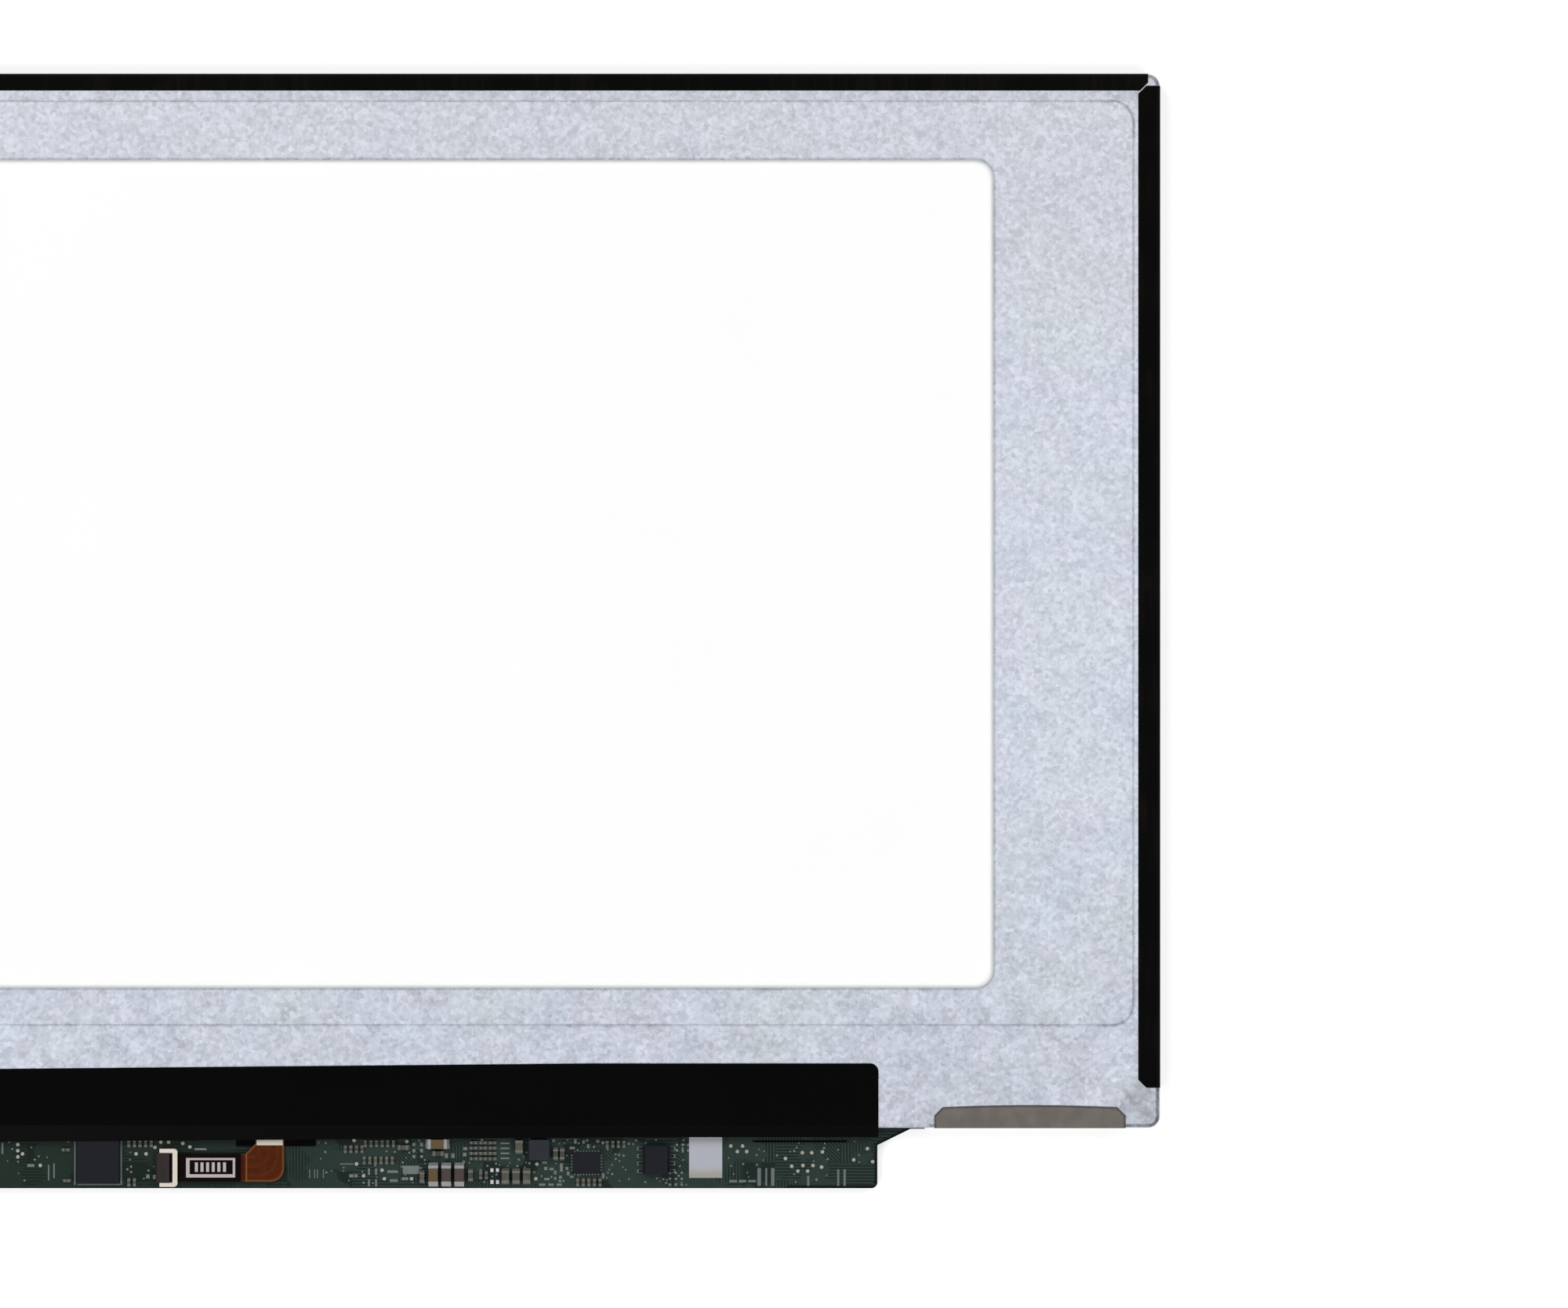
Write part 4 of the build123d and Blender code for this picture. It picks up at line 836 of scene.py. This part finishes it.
# Tinned pads on the board: X and rise of the middle, length along X and width along Y
# The four bright pads carry a painted highlight in their near-white solder
BRIGHT_PADS = [
    (40.1, 3.05, 0.52, 0.62), (41.05, 3.05, 0.52, 0.62), (40.1, 1.06, 0.52, 0.68), (41.05, 1.06, 0.52, 0.68),
]
DULL_PADS = [
    (-37.9, 3.85, 1.2, 0.5), (16.3, 2.1, 0.7, 0.55), (17.1, 2.1, 0.6, 0.55), (23.3, 2.8, 1.8, 0.45),
    (23.5, 1.3, 1.4, 0.45), (25.4, 1.6, 1.1, 0.5), (19.3, 0.9, 0.35, 1.2), (20.5, 0.9, 0.35, 1.2),
    (19.3, 2.8, 0.35, 1.1), (20.5, 2.8, 0.35, 1.1), (32.4, 5.5, 0.55, 0.8), (33.5, 5.5, 0.55, 0.8),
    (48.6, 0.6, 1.1, 0.4), (50.1, 0.6, 0.9, 0.4), (51.5, 0.6, 0.9, 0.4), (80.9, 1.2, 1.3, 0.4),
    (82.5, 1.2, 1.3, 0.4), (84.1, 1.2, 1.3, 0.4), (-9.2, 6.6, 2.0, 0.35), (-18.1, 2.0, 0.6, 0.7),
    (-17.0, 1.9, 0.5, 0.7), (26.9, 7.4, 0.5, 0.6), (26.9, 6.35, 0.5, 0.6), (26.9, 5.35, 0.5, 0.5),
    (28.2, 7.4, 0.5, 0.6), (28.2, 6.35, 0.5, 0.6), (28.2, 5.35, 0.5, 0.5),
    (42.3, 7.6, 1.5, 0.28), (42.3, 6.75, 1.5, 0.28), (42.3, 5.9, 1.5, 0.28), (42.3, 5.05, 1.5, 0.28),
    (50.5, 8.05, 0.5, 0.5), (54.2, 7.95, 0.4, 0.8), (55.6, 7.85, 0.4, 0.6), (56.2, 8.1, 0.4, 0.4),
    (58.0, 7.95, 0.5, 0.5), (58.9, 7.7, 0.5, 0.5), (56.4, 7.1, 0.4, 0.7), (53.7, 6.8, 0.9, 0.4),
    (49.0, 4.35, 0.8, 0.4), (49.2, 3.35, 0.55, 0.55), (50.2, 3.25, 0.7, 0.45), (50.8, 2.65, 0.45, 0.65),
    (51.85, 3.5, 0.5, 1.4), (52.8, 3.35, 0.5, 0.5), (53.0, 2.5, 0.5, 0.65), (53.6, 1.95, 0.65, 0.4),
    (50.8, 1.65, 0.4, 0.5), (51.7, 1.85, 0.55, 0.5), (49.4, 1.55, 0.9, 0.4), (51.6, 1.2, 0.5, 0.4),
    (58.9, 2.1, 0.45, 0.9), (35.6, 6.7, 0.7, 0.5), (35.5, 5.7, 0.6, 0.6), (35.3, 4.4, 0.5, 0.5),
]

# One larger pad, and how high each kind of pad is and how far its edges are rounded
LARGE_PAD = (26.4, 3.1, 2.8, 1.4)
LARGE_PAD_FORM = (0.04, 0.02)
BRIGHT_PAD_FORM = (0.08, 0.05)
DULL_PAD_FORM = (0.05, 0.03)

# Lines printed on the board: X from and to, rise from and to
PRINT_LINES = [
    (-30.6, -30.3, 0.55, 8.9), (-22.75, -22.45, 0.55, 8.9), (-30.0, -22.75, 0.5, 0.75),
    (-42.85, -42.55, 5.8, 7.7), (-35.0, -34.75, 1.3, 4.0),
    (-34.1, -33.85, 1.7, 4.2), (14.4, 16.7, 4.0, 4.2), (85.0, 85.6, 0.4, 3.4), (86.35, 86.65, 0.4, 3.4),
    (87.3, 87.9, 0.4, 3.4), (93.4, 93.8, 0.4, 2.1), (98.5, 98.85, 0.4, 3.2), (99.55, 99.95, 0.4, 3.2),
    (9.2, 9.36, 1.7, 3.2), (10.02, 10.18, 1.7, 3.2), (10.5, 10.66, 1.7, 3.2), (11.5, 11.66, 1.7, 3.2),
]


def board_lands():
    """Test points, tinned pads and printed lines on the board."""
    points = Piece()
    for x, rise in TEST_POINTS:
        points.dot(x, rise, POINT_RADIUS)
    points.finished("test_points", POINT_TIN)
    bright = Piece()
    for x, rise, length, width in BRIGHT_PADS:
        bright.pad(x, rise, length, width, *BRIGHT_PAD_FORM)
    bright.finished("bright_pads", GLINT_SOLDER)
    dull = Piece()
    for x, rise, length, width in DULL_PADS:
        dull.pad(x, rise, length, width, *DULL_PAD_FORM)
    dull.pad(*LARGE_PAD, *LARGE_PAD_FORM)
    dull.finished("dull_pads", SOLDER)
    lines = Piece()
    for left, right, low, high in PRINT_LINES:
        lines.slab(left, right, BOARD_EDGE + low, BOARD_EDGE + high,
                   BOARD_TOP - SUNK, BOARD_TOP + PRINT_HEIGHT)
    lines.finished("board_print", SILK)


# Zones of the board that are thick with small vias: X from and to, rise from and to, and how many
VIA_ZONES = [
    (-42.0, -31.5, 0.8, 8.0, 16), (-22.0, -17.0, 0.8, 8.0, 14), (10.5, 18.0, 0.8, 8.0, 14),
    (18.0, 29.0, 0.8, 8.2, 70), (36.0, 62.5, 0.8, 8.2, 190), (62.5, 73.5, 0.6, 8.2, 60),
    (79.0, 104.0, 0.8, 8.0, 40), (-70.0, -43.0, 0.8, 8.0, 36), (-104.0, -97.0, 0.8, 8.0, 10),
]

# Seed of the scattered vias, the room left round them, their least and most radius, and their height
VIA_SEED = 11
VIA_GAP = 0.3
VIA_RADII = (0.13, 0.22)
VIA_HEIGHT = 0.025

# Square grids of vias: first X and rise, columns, rows and pitch, then the radius and height of each
VIA_GRIDS = [(71.4, 6.4, 3, 2, 0.95), (70.2, 0.6, 3, 3, 1.0)]
GRID_VIA = (0.24, 0.03)


def taken_areas():
    """Areas of the board with something on them: X from and to, rise from and to."""
    boxes = [corners(node) for node in (
        "timing_controller", "power_chip", "memory_chip", "power_inductor", "board_label",
        "led_connector_housing")]
    for chip in CHIP_ENDS:
        boxes += separate_solids(chip[0])
    chips = [(low.x, high.x, low.y - BOARD_EDGE, high.y - BOARD_EDGE) for low, high in boxes]
    points = [(x, rise, 2 * POINT_RADIUS, 2 * POINT_RADIUS) for x, rise in TEST_POINTS]
    lands = [(x - length / 2, x + length / 2, rise - width / 2, rise + width / 2)
             for x, rise, length, width in BRIGHT_PADS + DULL_PADS + points]
    return chips + lands + PRINT_LINES


def is_clear(x, rise, taken):
    """Whether a place on the board keeps the gap from everything that is on it."""
    return all(
        not (left - VIA_GAP < x < right + VIA_GAP and low - VIA_GAP < rise < high + VIA_GAP)
        for left, right, low, high in taken)


def board_vias():
    """Small tinned vias scattered where the board is thick with tracks, clear of all that is on it."""
    draw = random.Random(VIA_SEED)
    taken = taken_areas()
    piece = Piece()
    for left, right, low, high, count in VIA_ZONES:
        for _ in range(count):
            x = draw.uniform(left, right)
            rise = draw.uniform(low, high)
            radius = draw.uniform(*VIA_RADII)
            if is_clear(x, rise, taken):
                piece.dot(x, rise, radius, VIA_HEIGHT)
                taken.append((x - radius, x + radius, rise - radius, rise + radius))
    for x, rise, columns, rows, pitch in VIA_GRIDS:
        for i in range(columns * rows):
            piece.dot(x + i % columns * pitch, rise + i // columns * pitch, *GRID_VIA)
    piece.finished("vias", SOLDER)


# Printed frame on the flex's leg: X from and to, rise from and to, and the depth it is let in
PRINT_FRAME = (-11.6, -3.3, 1.85, 5.15)
PRINT_SUNK = 0.005

# Widths of the frame's left, right, lower and upper side
FRAME_WIDTHS = (0.6, 0.4, 0.55, 0.35)

# Row of bars in the frame: how many, start, pitch and width, and the gaps below and above
BAR_COUNT = 6
BAR_START = 1.5
BAR_PITCH = 0.95
BAR_WIDTH = 0.5
BAR_GAP_LOW = 0.95
BAR_GAP_HIGH = 0.75


def flex_print():
    """White printed frame on the flex's leg, with a row of plain bars in it."""
    left, right, low, high = PRINT_FRAME
    at_left, at_right, at_low, at_high = FRAME_WIDTHS
    bars = [
        (left, left + at_left, low, high), (right - at_right, right, low, high),
        (left + at_left, right - at_right, low, low + at_low),
        (left + at_left, right - at_right, high - at_high, high),
    ]
    for i in range(BAR_COUNT):
        start = left + BAR_START + i * BAR_PITCH
        bars.append((start, start + BAR_WIDTH, low + BAR_GAP_LOW, high - BAR_GAP_HIGH))
    piece = Piece()
    for x0, x1, y0, y1 in bars:
        piece.slab(x0, x1, BOARD_EDGE + y0, BOARD_EDGE + y1,
                   FLEX_TOP - PRINT_SUNK, FLEX_TOP + PRINT_HEIGHT)
    piece.finished("flex_print", WHITE_INK)


# Black strips on the board that stand in for shade: X from and to, rise from and to, with the first running
# on under the film
UNDER_FILM = 10.0
SHADE_STRIPS = [(-3.2, 10.3, 7.1, UNDER_FILM), (84.2, 100.1, 7.75, 8.1)]
SHADE_STRIP_HEIGHT = 0.06
SHADE_STRIP_EDGE = 0.02


def shade_strips():
    """Black strips on the board that stand in for shade under the flex's tail and below the film's edge."""
    piece = Piece()
    for left, right, low, high in SHADE_STRIPS:
        piece.slab(left, right, BOARD_EDGE + low, BOARD_EDGE + high,
                   BOARD_TOP - SUNK, BOARD_TOP + SHADE_STRIP_HEIGHT, SHADE_STRIP_EDGE)
    piece.finished("board_shade_strips", FINISHES["board_film"])


def studio():
    """Soft lamps round the view, and a weak even sky."""
    middle = Vector((VIEW_MIDDLE[0], VIEW_MIDDLE[1], 0)) * MM
    for turn in range(LAMP_COUNT):
        angle = math.radians(LAMP_FIRST + 360 / LAMP_COUNT * turn)
        tilt = math.radians(LAMP_TILT)
        aim = Vector((math.cos(angle) * math.sin(tilt), math.sin(angle) * math.sin(tilt), math.cos(tilt)))
        data = bpy.data.lights.new(f"soft_lamp_{turn}", "AREA")
        data.size = LAMP_SIZE * MM
        data.energy = LAMP_WATTS
        lamp = bpy.data.objects.new(data.name, data)
        lamp.location = middle + aim * LAMP_DISTANCE * MM
        lamp.rotation_euler = aim.to_track_quat("Z", "Y").to_euler()
        bpy.context.scene.collection.objects.link(lamp)
    world = bpy.data.worlds.new("studio_sky")
    world.use_nodes = True
    world.node_tree.nodes["Background"].inputs["Strength"].default_value = SKY_LEVEL
    world.node_tree.nodes["Background"].inputs["Color"].default_value = (1, 1, 1, 1)
    bpy.context.scene.world = world


def floor():
    """Pale floor that shows white to the camera and keeps the panel's shadow."""
    mesh = bmesh.new()
    bmesh.ops.create_grid(mesh, x_segments=1, y_segments=1, size=FLOOR_SIZE / 2 * MM)
    bmesh.ops.translate(mesh, vec=(0, 0, -FLOOR_DROP * MM), verts=mesh.verts)
    data = bpy.data.meshes.new("studio_floor")
    mesh.to_mesh(data)
    mesh.free()
    material = bpy.data.materials.new("studio_floor")
    material.use_nodes = True
    tree = material.node_tree
    shader = tree.nodes["Principled BSDF"]
    shader.inputs["Base Color"].default_value = (FLOOR_TONE, FLOOR_TONE, FLOOR_TONE, 1)
    shader.inputs["Specular IOR Level"].default_value = 0.0
    shader.inputs["Roughness"].default_value = 1.0
    start = Shade(tree)
    path = start.add("ShaderNodeLightPath", output="Is Camera Ray")
    sockets = path.output.node.outputs
    glossy = Shade(tree, sockets["Is Glossy Ray"])
    through = Shade(tree, sockets["Is Transmission Ray"])
    seen = path.most(glossy).most(through)
    glow = start.add("ShaderNodeEmission", None, {"Color": (1, 1, 1, 1), "Strength": seen * FLOOR_GLOW})
    lit = start.add("ShaderNodeAddShader", None, {0: Shade(tree, shader.outputs[0]), 1: glow})
    behind = start.add("ShaderNodeNewGeometry", output="Backfacing")
    clear = start.add("ShaderNodeBsdfTransparent")
    mixed = start.add("ShaderNodeMixShader", None, {0: behind, 1: lit, 2: clear})
    mixed.feed(tree.nodes["Material Output"], "Surface")
    data.materials.append(material)
    piece = bpy.data.objects.new("studio_floor", data)
    bpy.context.scene.collection.objects.link(piece)


def camera():
    """Camera straight above the back, with a long lens."""
    data = bpy.data.cameras.new("photo_camera")
    data.lens = LENS
    data.sensor_width = SENSOR
    eye = bpy.data.objects.new("photo_camera", data)
    height = VIEW_WIDTH * LENS / SENSOR + COVER_HIGH.z
    eye.location = Vector((VIEW_MIDDLE[0], VIEW_MIDDLE[1], height)) * MM
    bpy.context.scene.collection.objects.link(eye)
    bpy.context.scene.camera = eye


dress_nodes()
chip_terminals()
chip_lands()
board_lands()
board_vias()
flex_print()
shade_strips()
studio()
floor()
camera()
bpy.context.scene.view_settings.view_transform = "Standard"
